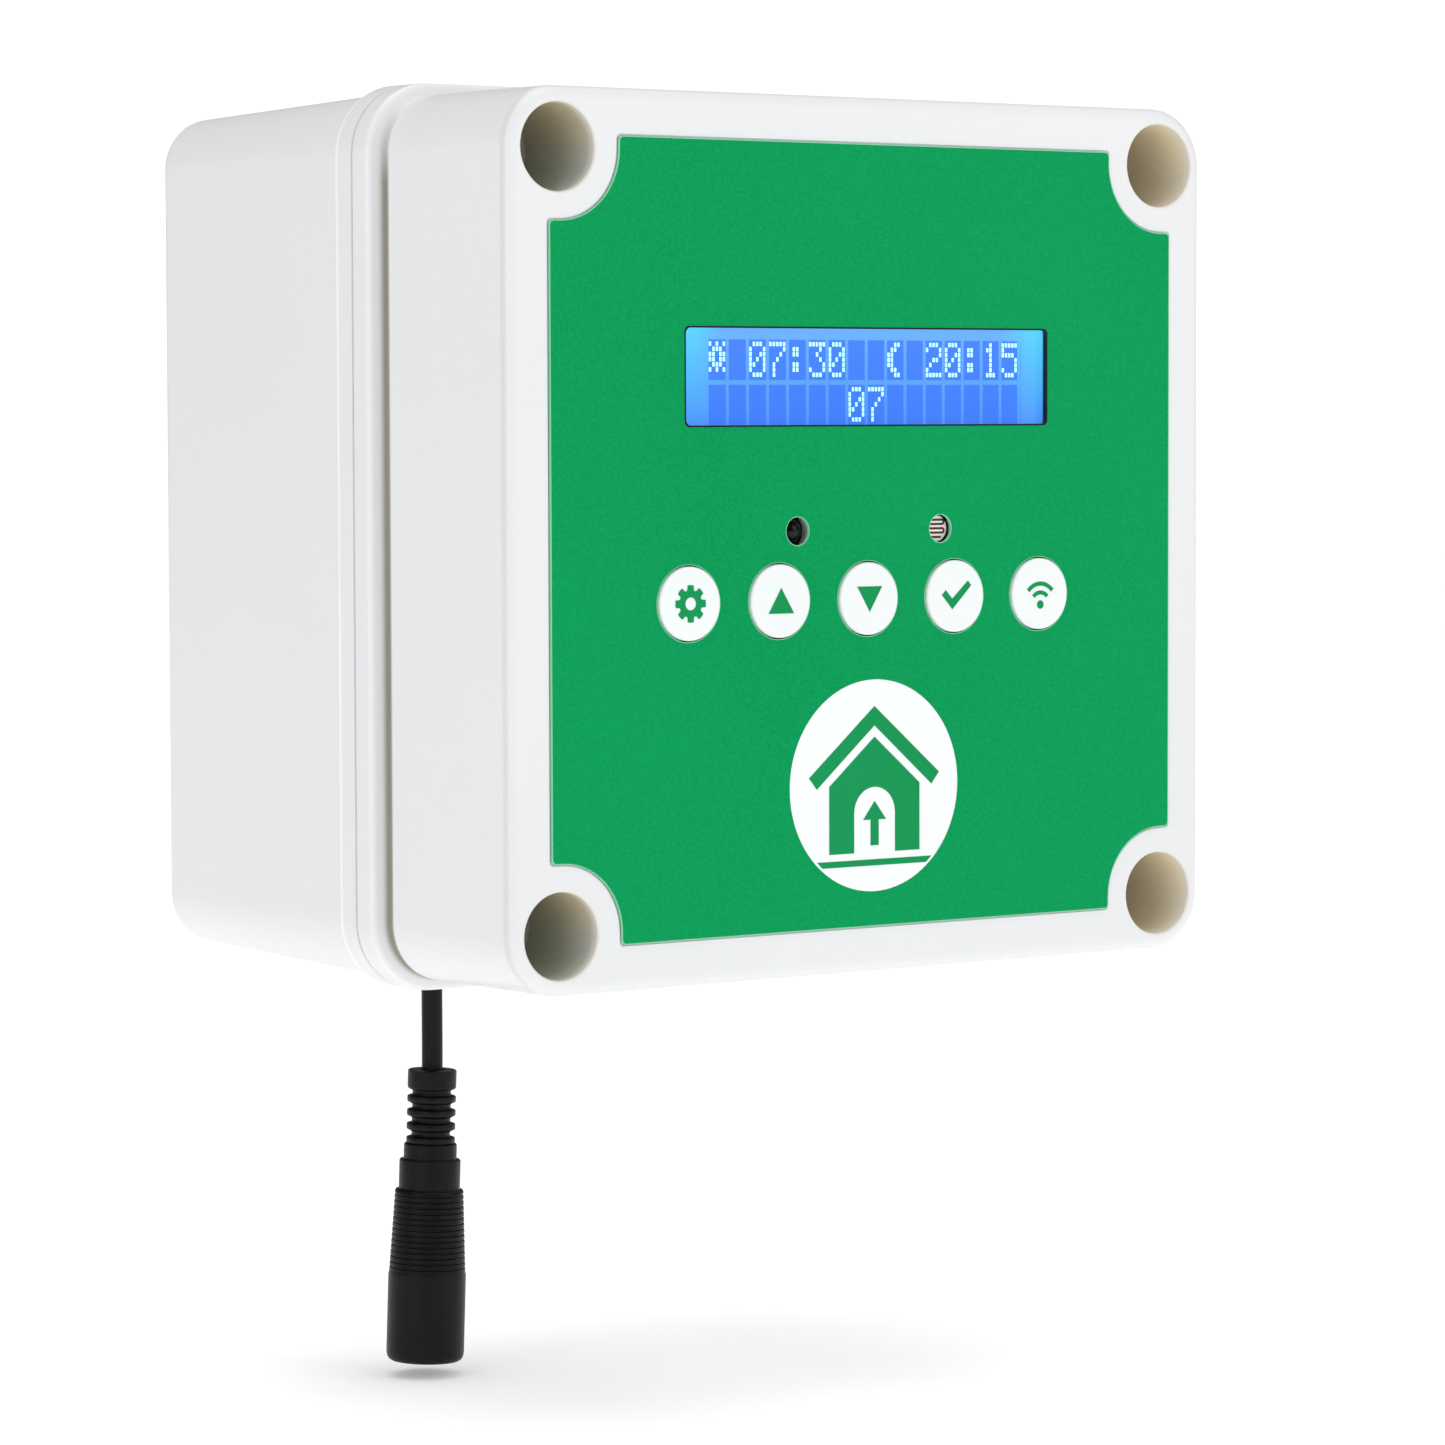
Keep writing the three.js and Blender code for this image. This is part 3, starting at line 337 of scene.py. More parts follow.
def make_well():
    made, tree, surface, place = start_material("screw well painted shade", 0.55)
    texture = grain(tree, place, 2600.0, 120.0)
    x, y, z = axes(tree, place)
    # Painted light and shade inside the wells: darker with depth, lighter in each well's upper half, and
    # greyer and darker in the wells on the left.
    lip = ramp(tree, y, *WELL_LIP, ease=SOFT)
    depth_shade = ramp(tree, y, *WELL_SHADE_DEPTHS, ease=SOFT)
    centre = times(tree, maths(tree, "SIGN", z), WELL_OUT)
    upper_light = ramp(tree, maths(tree, "SUBTRACT", z, centre), *WELL_LIGHT_HEIGHTS, ease=SOFT)
    left = ramp(tree, x, WELL_OUT, -WELL_OUT)
    lower_wall_painted = mix(tree, left, paint("#EDE5D2"), paint("#C6CEC8"))
    upper_wall_painted = mix(tree, left, paint("#F8EACB"), paint("#D6C9AA"))
    wall = mix(tree, upper_light, lower_wall_painted, upper_wall_painted)
    wall = mix(tree, times(tree, depth_shade, 0.12), wall, paint("#8F8C7E"))
    wall = mix(tree, times(tree, texture["Tone"], 0.1), wall, paint("#C9BD9C"))
    feed(surface, Base_Color=mix(tree, lip, paint("#ECE9E2"), wall))
    bump(tree, surface, texture["Height"], 0.08)
    return made


CASING, WELL_PAINTED_SHADE = make_casing(), make_well()
print("casing finishes:", CASING.name, "and", WELL_PAINTED_SHADE.name)

# %% [markdown]
# ## Building a moulded shell
# Pieces are drawn in millimetres and scaled to metres when they are finished. A square box with
# round corners is a section turned through a quarter circle at one corner, pulled straight to the
# middle of each side, and mirrored twice. Any groove, fillet or rim in the section then runs round
# the whole box without a seam.

# %% Mesh helpers
MM = 0.001
WELD = 0.0005  # millimetres between corners that are one


def arc(out, along, radius, start, turn, steps):
    """Points on an arc about a centre, with its angles in degrees."""
    angles = [math.radians(start + turn * n / steps) for n in range(steps + 1)]
    return [(out + radius * math.cos(a), along + radius * math.sin(a)) for a in angles]


def circle(bm, x, y, z, radius, steps=48):
    """An open ring that faces the front."""
    matrix = Matrix.Translation((x, y, z)) @ Matrix.Rotation(math.pi / 2, 4, "X")
    made = bmesh.ops.create_circle(bm, cap_ends=False, segments=steps, radius=radius, matrix=matrix)
    return sorted({e for v in made["verts"] for e in v.link_edges}, key=lambda e: e.index)


def polyline(bm, points):
    """Vertices joined by edges, in order."""
    verts = [bm.verts.new(p) for p in points]
    edges = [bm.edges.new(pair) for pair in zip(verts, verts[1:])]
    return verts, edges


def pull(bm, edges, vector):
    """Extrudes edges along a vector and gives back the far edges."""
    made = bmesh.ops.extrude_edge_only(bm, edges=edges)["geom"]
    bmesh.ops.translate(bm, verts=[g for g in made if isinstance(g, bmesh.types.BMVert)], vec=vector)
    return [g for g in made if isinstance(g, bmesh.types.BMEdge)]


def weld(bm):
    bmesh.ops.remove_doubles(bm, verts=bm.verts[:], dist=WELD)


def mirror_quarter(bm):
    """Copies what is built in one quarter to the other three."""
    for axis in "XZ":
        whole = bm.verts[:] + bm.edges[:] + bm.faces[:]
        bmesh.ops.mirror(bm, geom=whole, matrix=Matrix.Identity(4), merge_dist=0.001, axis=axis)
    weld(bm)


def fill_level(bm, y):
    """Closes the flat face between all open loops at one depth, leaving every second loop a hole."""
    weld(bm)
    flat = [e for e in bm.edges if len(e.link_faces) < 2 and all(abs(v.co.y - y) < 1e-3 for v in e.verts)]
    before = len(bm.faces)
    bmesh.ops.triangle_fill(bm, use_beauty=True, use_dissolve=False, edges=flat, normal=(0, -1, 0))
    return len(bm.faces) - before


def spin_profile(bm, profile, centre, direction, steps=48):
    """A section of [radius, place along the axis] turned full circle about an axis through a centre."""
    axis = {"X": Vector((1, 0, 0)), "Y": Vector((0, 1, 0)), "Z": Vector((0, 0, 1))}[direction]
    side = Vector((0, 0, 1)) if direction != "Z" else Vector((1, 0, 0))
    verts, edges = polyline(bm, [Vector(centre) + side * r + axis * a for r, a in profile])
    bmesh.ops.spin(
        bm, geom=verts + edges, cent=centre, axis=axis, dvec=(0, 0, 0), angle=2 * math.pi,
        steps=steps, use_merge=True,
    )


def rounded(profile, corners, radius, steps=4):
    """The same section with some of its corners, given by their place in the list, cut to a small arc."""
    result = []
    for n, point in enumerate(profile):
        if n not in corners:
            result.append(point)
            continue
        here, before, after = Vector(point), Vector(profile[n - 1]), Vector(profile[n + 1])
        first = here + (before - here).normalized() * radius
        last = here + (after - here).normalized() * radius
        for step in range(steps + 1):
            t = step / steps
            result.append(tuple(first * (1 - t) ** 2 + here * 2 * t * (1 - t) + last * t**2))
    return result


# %% Finish a piece
SHARP = math.radians(38)


def metre_mesh(bm, name):
    """A mesh in metres out of a bmesh in millimetres, with its faces turned outwards."""
    weld(bm)
    bmesh.ops.recalc_face_normals(bm, faces=bm.faces[:])
    bmesh.ops.scale(bm, vec=(MM, MM, MM), verts=bm.verts[:])
    mesh = bpy.data.meshes.new(name)
    bm.to_mesh(mesh)
    return mesh


def finish_piece(bm, name, body, finishes, stands_for=(), weighted=True):
    """Turns a bmesh into a named object with its finishes that rides on a body."""
    mesh = metre_mesh(bm, name)
    open_edges = sum(1 for e in bm.edges if len(e.link_faces) != 2)
    bm.free()
    for finish in finishes if isinstance(finishes, list) else [finishes]:
        mesh.materials.append(finish)
    mesh.shade_smooth()
    mesh.set_sharp_from_angle(angle=SHARP)
    made = bpy.data.objects.new(name, mesh)
    scene.collection.objects.link(made)
    if weighted:
        made.modifiers.new("flat faces stay flat", "WEIGHTED_NORMAL").keep_sharp = True
    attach(made, body)
    if stands_for:
        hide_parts(*stands_for)
    print(f"{name}: {len(mesh.polygons)} faces, {open_edges} open edges")
    return made


def turned_piece(name, section, centre, axis, steps, body, finishes, stands_for):
    """A piece whose section is turned about one axis."""
    bm = bmesh.new()
    spin_profile(bm, section, centre, axis, steps)
    return finish_piece(bm, name, body, finishes, stands_for)


# %% [markdown]
# ## Front cover
# On the real box this is one moulding: a front wall, a skirt with a wide rim, and four deep wells
# that take the cover screws. The corner's centre and the well's axis are the same line, so the
# section turns about it. The front wall has a shallow recess for the printed sheet, with the
# windows for display, buttons and sensors cut through its floor. Flat faces with holes come from
# triangle_fill, which takes any set of closed loops.

# %% Sizes of the cover
WELL = 54.1  # from the middle to a well's axis, and to the corner's centre
WELL_RADIUS = 6.1
WELL_WALL = 8.1  # outside radius of the column round a well
WELL_FLOOR = -76.5
SCREW_HOLE = 2.4
COVER_FRONT, COVER_BACK = -94.0, -57.55
COVER_CORNER, FRONT_ROUND = 8.4, 1.88
COVER_INSIDE = 60.0
CASE_FRONT = -57.25
WALL_BACK = -91.0
RECESS, RECESS_MARGIN = 0.3, 0.28
SHEET_HALF, NOTCH, TIP_ROUND = 55.8, 10.0, 0.6
CORNER_STEPS = 14
BUTTON_X = {"settings": -32.6, "open": -16.8, "close": -1.0, "test": 14.8, "learn": 30.6}
BUTTON_Z = -8.8
DISPLAY_X, DISPLAY_Z = -0.4, 22.8
RECEIVER_X, LIGHT_SENSOR_X, SENSOR_Z = -13.5, 12.3, 1.0
DISPLAY_OPENING = (35.9, 12.4, 0.8)  # half width, half height and corner
BUTTON_OPENING, SENSOR_OPENING = 5.45, 2.8

FRONT_FILLET = arc(COVER_CORNER - FRONT_ROUND, COVER_FRONT + FRONT_ROUND, FRONT_ROUND, -90, 90, 6)
COVER_RIM = [
    (COVER_CORNER, -63.85), (8.28, -63.70), (7.98, -63.58), (7.80, -63.30), (7.86, -62.85),
    (8.15, -62.45), (8.7, -62.1), (9.35, -61.9), (9.85, -61.72), (10.12, -61.4), (10.2, -60.9),
    (10.2, -57.95), (10.12, -57.66), (9.9, COVER_BACK),
]


def square_wall(bm, section):
    """A section of [distance out from the corner's centre, depth] run round one quarter of the box."""
    verts, edges = polyline(bm, [(WELL + r, y, WELL) for r, y in section])
    turned = bmesh.ops.spin(
        bm, geom=verts + edges, cent=(WELL, 0, WELL), axis=(0, -1, 0), dvec=(0, 0, 0),
        angle=math.pi / 2, steps=CORNER_STEPS,
    )
    last = [g for g in turned["geom_last"] if isinstance(g, bmesh.types.BMEdge)]
    pull(bm, edges, (0, 0, -WELL))
    pull(bm, last, (-WELL, 0, 0))


def notched_outline(bm, half, radius, y, tip=0.0):
    """One quarter of a square whose corner is cut to a hollow arc about the well's axis."""
    start = bm.verts.new((WELL, y, WELL - radius))
    turned = bmesh.ops.spin(
        bm, geom=[start], cent=(WELL, y, WELL), axis=(0, 1, 0), dvec=(0, 0, 0),
        angle=math.pi / 2, steps=CORNER_STEPS,
    )
    end = [g for g in turned["geom_last"] if isinstance(g, bmesh.types.BMVert)][0]
    tips = []
    for vert, corner, middle in [
        (start, (half, y, WELL - radius), (half, y, 0)),
        (end, (WELL - radius, y, half), (0, y, half)),
    ]:
        for place in (corner, middle):
            vert = bmesh.ops.extrude_vert_indiv(bm, verts=[vert])["verts"][0]
            vert.co = place
            if place == corner:
                tips.append(vert)
    if tip:
        bmesh.ops.bevel(
            bm, geom=tips, offset=tip, offset_type="OFFSET", affect="VERTICES", segments=4,
            profile=0.5, material=-1,
        )


def new_edges(bm, known):
    return [e for e in bm.edges if e not in known]


def rounded_window(bm, x, y, z, half_width, half_height, radius):
    """An open rounded rectangle that faces the front."""
    matrix = Matrix.Translation((x, y, z)) @ Matrix.Rotation(math.pi / 2, 4, "X")
    matrix = matrix @ Matrix.Diagonal((half_width, half_height, 1, 1))
    known = set(bm.edges)
    made = bmesh.ops.create_grid(bm, x_segments=1, y_segments=1, size=1, matrix=matrix)
    bmesh.ops.bevel(
        bm, geom=made["verts"], offset=radius, offset_type="OFFSET", affect="VERTICES", segments=5,
        profile=0.5, material=-1,
    )
    edges = new_edges(bm, known)
    bmesh.ops.delete(bm, geom=list({f for e in edges for f in e.link_faces}), context="FACES_ONLY")
    return edges


# %% Build the cover
bm = bmesh.new()
square_wall(bm, FRONT_FILLET + COVER_RIM)
well_lip = [(6.44, COVER_FRONT), (6.3, COVER_FRONT + 0.05), (6.17, COVER_FRONT + 0.16)]
well_side = [(WELL_RADIUS, COVER_FRONT + depth) for depth in (0.36, 3, 9)]
well_foot = [(WELL_RADIUS, WELL_FLOOR - 0.5), (WELL_RADIUS - 0.5, WELL_FLOOR)]
well_section = well_lip + well_side + well_foot + [(SCREW_HOLE, WELL_FLOOR), (SCREW_HOLE, COVER_BACK)]
known = set(bm.faces)
spin_profile(bm, well_section, (WELL, 0, WELL), "Y", 56)
for face in set(bm.faces) - known:
    face.material_index = 1
known = set(bm.edges)
notched_outline(bm, SHEET_HALF + RECESS_MARGIN, NOTCH - RECESS_MARGIN, COVER_FRONT, TIP_ROUND)
pull(bm, new_edges(bm, known), (0, RECESS, 0))
known = set(bm.edges)
notched_outline(bm, COVER_INSIDE, WELL_WALL, COVER_BACK)
pull(bm, new_edges(bm, known), (0, WALL_BACK - COVER_BACK, 0))
mirror_quarter(bm)

floor = COVER_FRONT + RECESS
through = (0, WALL_BACK - floor, 0)
pull(bm, rounded_window(bm, DISPLAY_X, floor, DISPLAY_Z, *DISPLAY_OPENING), through)
for x in BUTTON_X.values():
    pull(bm, circle(bm, x, floor, BUTTON_Z, BUTTON_OPENING), through)
for x in (RECEIVER_X, LIGHT_SENSOR_X):
    pull(bm, circle(bm, x, floor, SENSOR_Z, SENSOR_OPENING, 32), through)
filled = [fill_level(bm, y) for y in (COVER_FRONT, floor, WALL_BACK, COVER_BACK)]
print("flat faces of the cover:", filled)
finish_piece(bm, "cover_shell", "case", [CASING, WELL_PAINTED_SHADE], ["front_cover"])

# %% [markdown]
# ## Back case
# The back half carries the other half of the rim, a channel for the seal, four columns for the
# cover screws, two bosses for the motor's bracket and four holes for the wall screws. It narrows a
# little towards the wall so that it leaves its mould. The two round holes in its floor are drilled
# with a Boolean modifier, because they cross a wall that leans.

# %% Build the case
CASE_RIM = [
    (9.9, CASE_FRONT), (10.12, -57.14), (10.2, -56.85), (10.2, -53.6), (10.1, -53.15), (9.8, -52.95),
    (9.5, -52.92), (9.3, -52.84), (9.2, -52.6), (9.15, -52.2), (9.14, -51.8),
]
BACK_CORNER, BACK_ROUND = 7.72, 2.6
BACK_FILLET = arc(BACK_CORNER - BACK_ROUND, -BACK_ROUND, BACK_ROUND, 0, 90, 6)
SEAL_CHANNEL = [(6.9, CASE_FRONT), (6.9, -55.35), (8.5, -55.35), (8.5, CASE_FRONT)]
PILOT_HOLE = [(2.2, CASE_FRONT), (2.2, -43.25), (0, -42.4)]
CASE_INSIDE, COLUMN, BACK_WALL = 59.2, 7.4, 3.0
WALL_HOLE_X, WALL_HOLE_Z, WALL_HOLE = 36, 50, 2.3
BOSS = [(4, -BACK_WALL), (4, -8), (1.8, -8), (1.8, -BACK_WALL)]
BOSS_X, BOSS_HEIGHTS = 8, (-26.5, 25)

bm = bmesh.new()
square_wall(bm, CASE_RIM + BACK_FILLET)
square_wall(bm, SEAL_CHANNEL)
spin_profile(bm, PILOT_HOLE, (WELL, 0, WELL), "Y", 24)
known = set(bm.edges)
notched_outline(bm, CASE_INSIDE, COLUMN, CASE_FRONT)
pull(bm, new_edges(bm, known), (0, -BACK_WALL - CASE_FRONT, 0))
wall_hole = circle(bm, WALL_HOLE_X, -BACK_WALL, WALL_HOLE_Z, WALL_HOLE, 28)
pull(bm, wall_hole, (0, BACK_WALL, 0))
mirror_quarter(bm)
for z in BOSS_HEIGHTS:
    spin_profile(bm, BOSS, (BOSS_X, 0, z), "Y", 28)
filled = [fill_level(bm, y) for y in (CASE_FRONT, -BACK_WALL, 0.0)]
print("flat faces of the case:", filled)
case = finish_piece(bm, "case_shell", "case", CASING, ["rear_case"])


# %% Drill the floor of the case
DRILL_TIP, DRILL_END = -55, -70
BUSH_X, BUSH_Y, BUSH_HOLE = -14, -38, 5.9
GROMMET_X, GROMMET_Y, GROMMET_HOLE = LEAD_X / MM, LEAD_Y / MM, 4.4


def drill(piece, holes):
    """Cuts round upright holes of [x, y, radius] in millimetres through a piece's floor."""
    bm = bmesh.new()
    for x, y, radius in holes:
        bit = [(0, DRILL_END), (radius, DRILL_END), (radius, DRILL_TIP), (0, DRILL_TIP)]
        spin_profile(bm, bit, (x, y, 0), "Z", 40)
    tool = bpy.data.objects.new("drill", metre_mesh(bm, "drill"))
    bm.free()
    scene.collection.objects.link(tool)
    cut = piece.modifiers.new("drilled", "BOOLEAN")
    cut.object, cut.operation, cut.solver = tool, "DIFFERENCE", "EXACT"
    piece.modifiers.move(len(piece.modifiers) - 1, 0)
    flat = piece.modifiers[1]
    flat.show_viewport = False
    solid = bpy.data.meshes.new_from_object(piece.evaluated_get(bpy.context.evaluated_depsgraph_get()))
    piece.modifiers.remove(cut)
    flat.show_viewport = True
    bpy.data.objects.remove(tool)
    solid.name = piece.name
    piece.data = solid
    solid.set_sharp_from_angle(angle=SHARP)
    print(piece.name, "drilled:", len(solid.polygons), "faces")


drill(case, [(BUSH_X, BUSH_Y, BUSH_HOLE), (GROMMET_X, GROMMET_Y, GROMMET_HOLE)])

# %% [markdown]
# ## Printed front sheet
# A thin polyester sheet is printed from behind and stuck into the recess. A lighter line runs round
# the sheet and its holes, and its cut sides are light green too: a painted highlight on the cut
# edges. A thin black line round the window, and the window's cut sides, are painted shade at the
# window's edge. Each line is a film of its own between two loops. The green ink has a fine matt
# speckle.

# %% Sheet finishes
def make_sheet_print():
    made, tree, surface, place = start_material("green print", 0.5, Specular_IOR_Level=0.05)
    texture = grain(tree, place, 2400.0, 22.0)
    ink = mix(tree, texture["Tone"], paint("#00914F"), paint("#049B58"))
    ink = mix(tree, times(tree, texture["Speckle"], 0.55), ink, paint("#0AA862"))
    feed(surface, Base_Color=ink)
    bump(tree, surface, texture["Height"], 0.12)
    return made


GREEN_PRINT = make_sheet_print()
# The light green of the cut edges is a painted highlight.
SHEET_EDGE_HIGHLIGHT = plain_finish("sheet edge highlight", "#9FE8C0", "#7ED8A6", 3000.0, 0.05, 0.3)
WHITE_INK = plain_finish("white ink", "#FBFDFD", "#F4F8F8", 4200.0, 0.08, 0.5)
# The black line round the window is painted shade.
WINDOW_SHADE = plain_finish(
    "painted window shade", "#0D1016", "#07090D", 3000.0, 0.05, 0.35, Specular_IOR_Level=0.2,
)
GREEN_INK = plain_finish("green ink", "#109A58", "#0A9150", 4200.0, 0.08, 0.5, Specular_IOR_Level=0.1)


# %% Plates and films
INK = 0.03


def thicken(bm, y_front, y_back):
    """Makes a plate out of the open loops that lie at its front."""
    loops = [e for e in bm.edges if not e.link_faces]
    pull(bm, loops, (0, y_back - y_front, 0))
    fill_level(bm, y_front)
    fill_level(bm, y_back)


def film(name, loops, y_front, body, finish):
    """A printed film from a function that draws its loops at a depth."""
    bm = bmesh.new()
    loops(bm, y_front)
    thicken(bm, y_front, y_front + INK)
    return finish_piece(bm, name, body, finish, weighted=False)


# %% Cut the sheet
SHEET_FRONT, SHEET_BACK = -94.25, -93.85
WINDOW = (32.5, 6.8)  # half its width and half its height
WINDOW_CORNER = 0.8
BUTTON_HOLE, SENSOR_HOLE = 5.4, 2.0
# Margins of the painted highlight round the cut edges and of the painted shade round the window.
HIGHLIGHT_LINE = (0.01, 0.09)  # distances from a cut edge
WINDOW_SHADE_LINE = (0.01, 0.24)


def sheet_loops(bm, y, *margins):
    """The sheet's outline and round holes, once for each margin that is cut off its edges."""
    for margin in margins:
        notched_outline(bm, SHEET_HALF - margin, NOTCH + margin, y, TIP_ROUND)
    mirror_quarter(bm)
    for margin in margins:
        for x in BUTTON_X.values():
            circle(bm, x, y, BUTTON_Z, BUTTON_HOLE + margin, 56)
        for x in (RECEIVER_X, LIGHT_SENSOR_X):
            circle(bm, x, y, SENSOR_Z, SENSOR_HOLE + margin, 40)


def edge_highlight_line(bm, y):
    sheet_loops(bm, y, *HIGHLIGHT_LINE)


def window_shade_line(bm, y):
    for margin in WINDOW_SHADE_LINE:
        half = [size + margin for size in WINDOW]
        rounded_window(bm, DISPLAY_X, y, DISPLAY_Z, *half, WINDOW_CORNER)


bm = bmesh.new()
sheet_loops(bm, SHEET_FRONT, 0.0)
rounded_window(bm, DISPLAY_X, SHEET_FRONT, DISPLAY_Z, *WINDOW, WINDOW_CORNER)
thicken(bm, SHEET_FRONT, SHEET_BACK)
bmesh.ops.recalc_face_normals(bm, faces=bm.faces[:])
# Side faces: painted highlight on the cut edges, painted shade on the window's sides.
for face in bm.faces:
    middle = face.calc_center_median() - Vector((DISPLAY_X, SHEET_FRONT, DISPLAY_Z))
    in_window = abs(middle.x) < WINDOW[0] + 0.5 and abs(middle.z) < WINDOW[1] + 0.2
    if abs(face.normal.y) < 0.1:
        face.material_index = 2 if in_window else 1
sheet_finishes = [GREEN_PRINT, SHEET_EDGE_HIGHLIGHT, WINDOW_SHADE]
finish_piece(bm, "front_sheet_print", "case", sheet_finishes, ["front_sheet"])
film("edge_highlight_line", edge_highlight_line, SHEET_FRONT - INK, "case", SHEET_EDGE_HIGHLIGHT)
film("window_shade_line", window_shade_line, SHEET_FRONT - INK, "case", WINDOW_SHADE)

# %% [markdown]
# ## Printed emblem
# A white disc below the buttons carries a plain sign: a small hen house with a pop hole and an
# arrow for the door that goes up. Each ink is a film a few hundredths of a millimetre thick, cut
# out as closed loops.

# %% Print the emblem
EMBLEM_X, EMBLEM_Z, EMBLEM_RADIUS = 0.2, -35.6, 15.2
ROOF = [(0, 11.4), (11.8, 1.5), (10.4, -0.2), (0, 8.6)]
POP_HOLE, HOLE_SILL, HOLE_SPRING = 3.7, -9.6, -3.9  # half width, foot, and where its arch starts
HOLE_ARCH = arc(0, HOLE_SPRING, POP_HOLE, 11.25, 67.5, 6)
WALLS = [(0, 7.0), (8.2, 0.1), (8.2, HOLE_SILL), (POP_HOLE, HOLE_SILL), (POP_HOLE, HOLE_SPRING)]
WALLS += HOLE_ARCH + [(0, HOLE_SPRING + POP_HOLE)]
ARROW = [(0, -2.2), (2.1, -4.9), (0.75, -4.9), (0.75, -8.6)]
GROUND = [(-10.4, -10.6), (10.4, -10.6), (9.4, -11.5), (-9.4, -11.5)]


def outline(bm, points, x, y, z):
    """A closed loop of straight edges, round a centre."""
    verts = [bm.verts.new((x + a, y, z + b)) for a, b in points]
    return [bm.edges.new(pair) for pair in zip(verts, verts[1:] + verts[:1])]


def mirrored_outline(right_half):
    """Points down the right side of a sign, repeated up its left side."""
    return right_half + [(-a, b) for a, b in reversed(right_half) if abs(a) > 1e-6]


def emblem_disc(bm, y):
    circle(bm, EMBLEM_X, y, EMBLEM_Z, EMBLEM_RADIUS, 96)


def emblem_house(bm, y):
    for half in (ROOF, WALLS, ARROW):
        outline(bm, mirrored_outline(half), EMBLEM_X, y, EMBLEM_Z)
    outline(bm, GROUND, EMBLEM_X, y, EMBLEM_Z)


film("emblem_disc", emblem_disc, SHEET_FRONT - INK, "case", WHITE_INK)
film("emblem_house", emblem_house, SHEET_FRONT - 2 * INK, "case", GREEN_INK)

# %% [markdown]
# ## Buttons
# Each cap is a turned shape: a flat top with a small round edge, a flange that holds it behind the
# cover, and a stem that presses its switch. The five caps are alike and only their signs differ: a
# gear wheel, up, down, a tick and a hand-held sender's waves. A cap and its sign ride on the same
# body, so they sink together.

# %% Turn the caps
CAP_FRONT = -94.77
CAP_RADIUS, CAP_ROUND, FLANGE_RADIUS, STEM_RADIUS = 5.2, 0.3, 6.3, 1.6
FLANGE_FRONT, FLANGE_BACK, STEM_END = -90.7, -89.5, -87.3
COG_RADIUS, COG_TIP, COG_HUB, COGS = 1.95, 2.62, 0.9, 8
WAVE_CENTRE, WAVE_WIDE, WAVES = -1.6, 0.62, (1.45, 2.75)
CAP_WHITE = plain_finish("button cap", "#F7FBFB", "#EFF4F4", 3600.0, 0.05, 0.35, Coat_Weight=0.1)


def gear_sign(bm, x, y, z):
    """A ring whose corners are pushed out where a tooth stands, and its hub."""
    reach = COG_TIP / COG_RADIUS
    for vert in {v for e in circle(bm, x, y, z, COG_RADIUS, 64) for v in e.verts}:
        angle = math.atan2(vert.co.z - z, vert.co.x - x)
        if math.cos(COGS * angle) > -0.05:
            vert.co.x, vert.co.z = x + (vert.co.x - x) * reach, z + (vert.co.z - z) * reach
    circle(bm, x, y, z, COG_HUB, 32)


def up_sign(bm, x, y, z, way=1):
    outline(bm, [(0, 1.9 * way), (2.25, -1.75 * way), (-2.25, -1.75 * way)], x, y, z)


def down_sign(bm, x, y, z):
    up_sign(bm, x, y, z, -1)


def tick_sign(bm, x, y, z):
    points = [(-2.6, 0.2), (-1.9, 0.9), (-0.7, -0.35), (2.2, 2.2), (2.8, 1.5), (-0.7, -1.9)]
    outline(bm, points, x, y, z)


def waves_sign(bm, x, y, z):
    circle(bm, x, y, z + WAVE_CENTRE, WAVE_WIDE, 28)
    for inner in WAVES:
        outer_side = arc(0, WAVE_CENTRE, inner + WAVE_WIDE, 42, 96, 14)
        outline(bm, outer_side + arc(0, WAVE_CENTRE, inner, 42, 96, 14)[::-1], x, y, z)


SIGNS = {
    "settings": gear_sign, "open": up_sign, "close": down_sign, "test": tick_sign, "learn": waves_sign,
}
SIGN_FRONT = CAP_FRONT - INK + 0.002
cap_section = rounded(
    [
        (0, CAP_FRONT), (CAP_RADIUS, CAP_FRONT + 0.05), (CAP_RADIUS, FLANGE_FRONT),
        (FLANGE_RADIUS, FLANGE_FRONT), (FLANGE_RADIUS, FLANGE_BACK), (STEM_RADIUS, FLANGE_BACK),
        (STEM_RADIUS, STEM_END), (0, STEM_END),
    ],
    {1}, CAP_ROUND,
)
for name, x in BUTTON_X.items():
    key = f"{name}_key"
    turned_piece(
        f"cap_{name}", cap_section, (x, 0, BUTTON_Z), "Y", 56, key, CAP_WHITE,
        [f"button_{name}"],
    )

    def draw(bm, y, x=x, sign=SIGNS[name]):
        sign(bm, x, y, BUTTON_Z)

    film(f"sign_{name}", draw, SIGN_FRONT, key, GREEN_INK)

# %% [markdown]
# ## Display
# A character display has two rows of sixteen cells on a lit blue ground. The cells are a little
# deeper in colour than the gaps, which a repeating pattern on X and Z gives. The lit dots are real
# small tiles, drawn from a five-by-seven alphabet: the hours at which the door opens and closes,
# and the light level below.

# %% Display finishes
CELL_PITCH, CELL_LEFT, CELLS = 3.52, -28.2, 16
ROW_TOP, ROW_PITCH, CELL_HIGH = 28.05, 6.35, 5.75
CELL_LOW = ROW_TOP - 2 * ROW_PITCH + ROW_PITCH - CELL_HIGH
CELL_SPAN = (CELL_LEFT * MM, (CELL_LEFT + CELLS * CELL_PITCH) * MM)
ROW_SPAN = (0.0151, ROW_TOP * MM)
EVEN_SPAN = (-0.024, 0.023)  # the ground is paler beside it, near the lamps at both ends


def repeat_mask(tree, along, start, pitch, filled):
    """1 inside the filled share of each step along an axis, in metres."""
    steps = maths(tree, "DIVIDE", maths(tree, "SUBTRACT", along, start * MM), pitch * MM)
    share = maths(tree, "FRACT", steps)
    return band(tree, share, 0.02, filled - 0.02, 0.03)


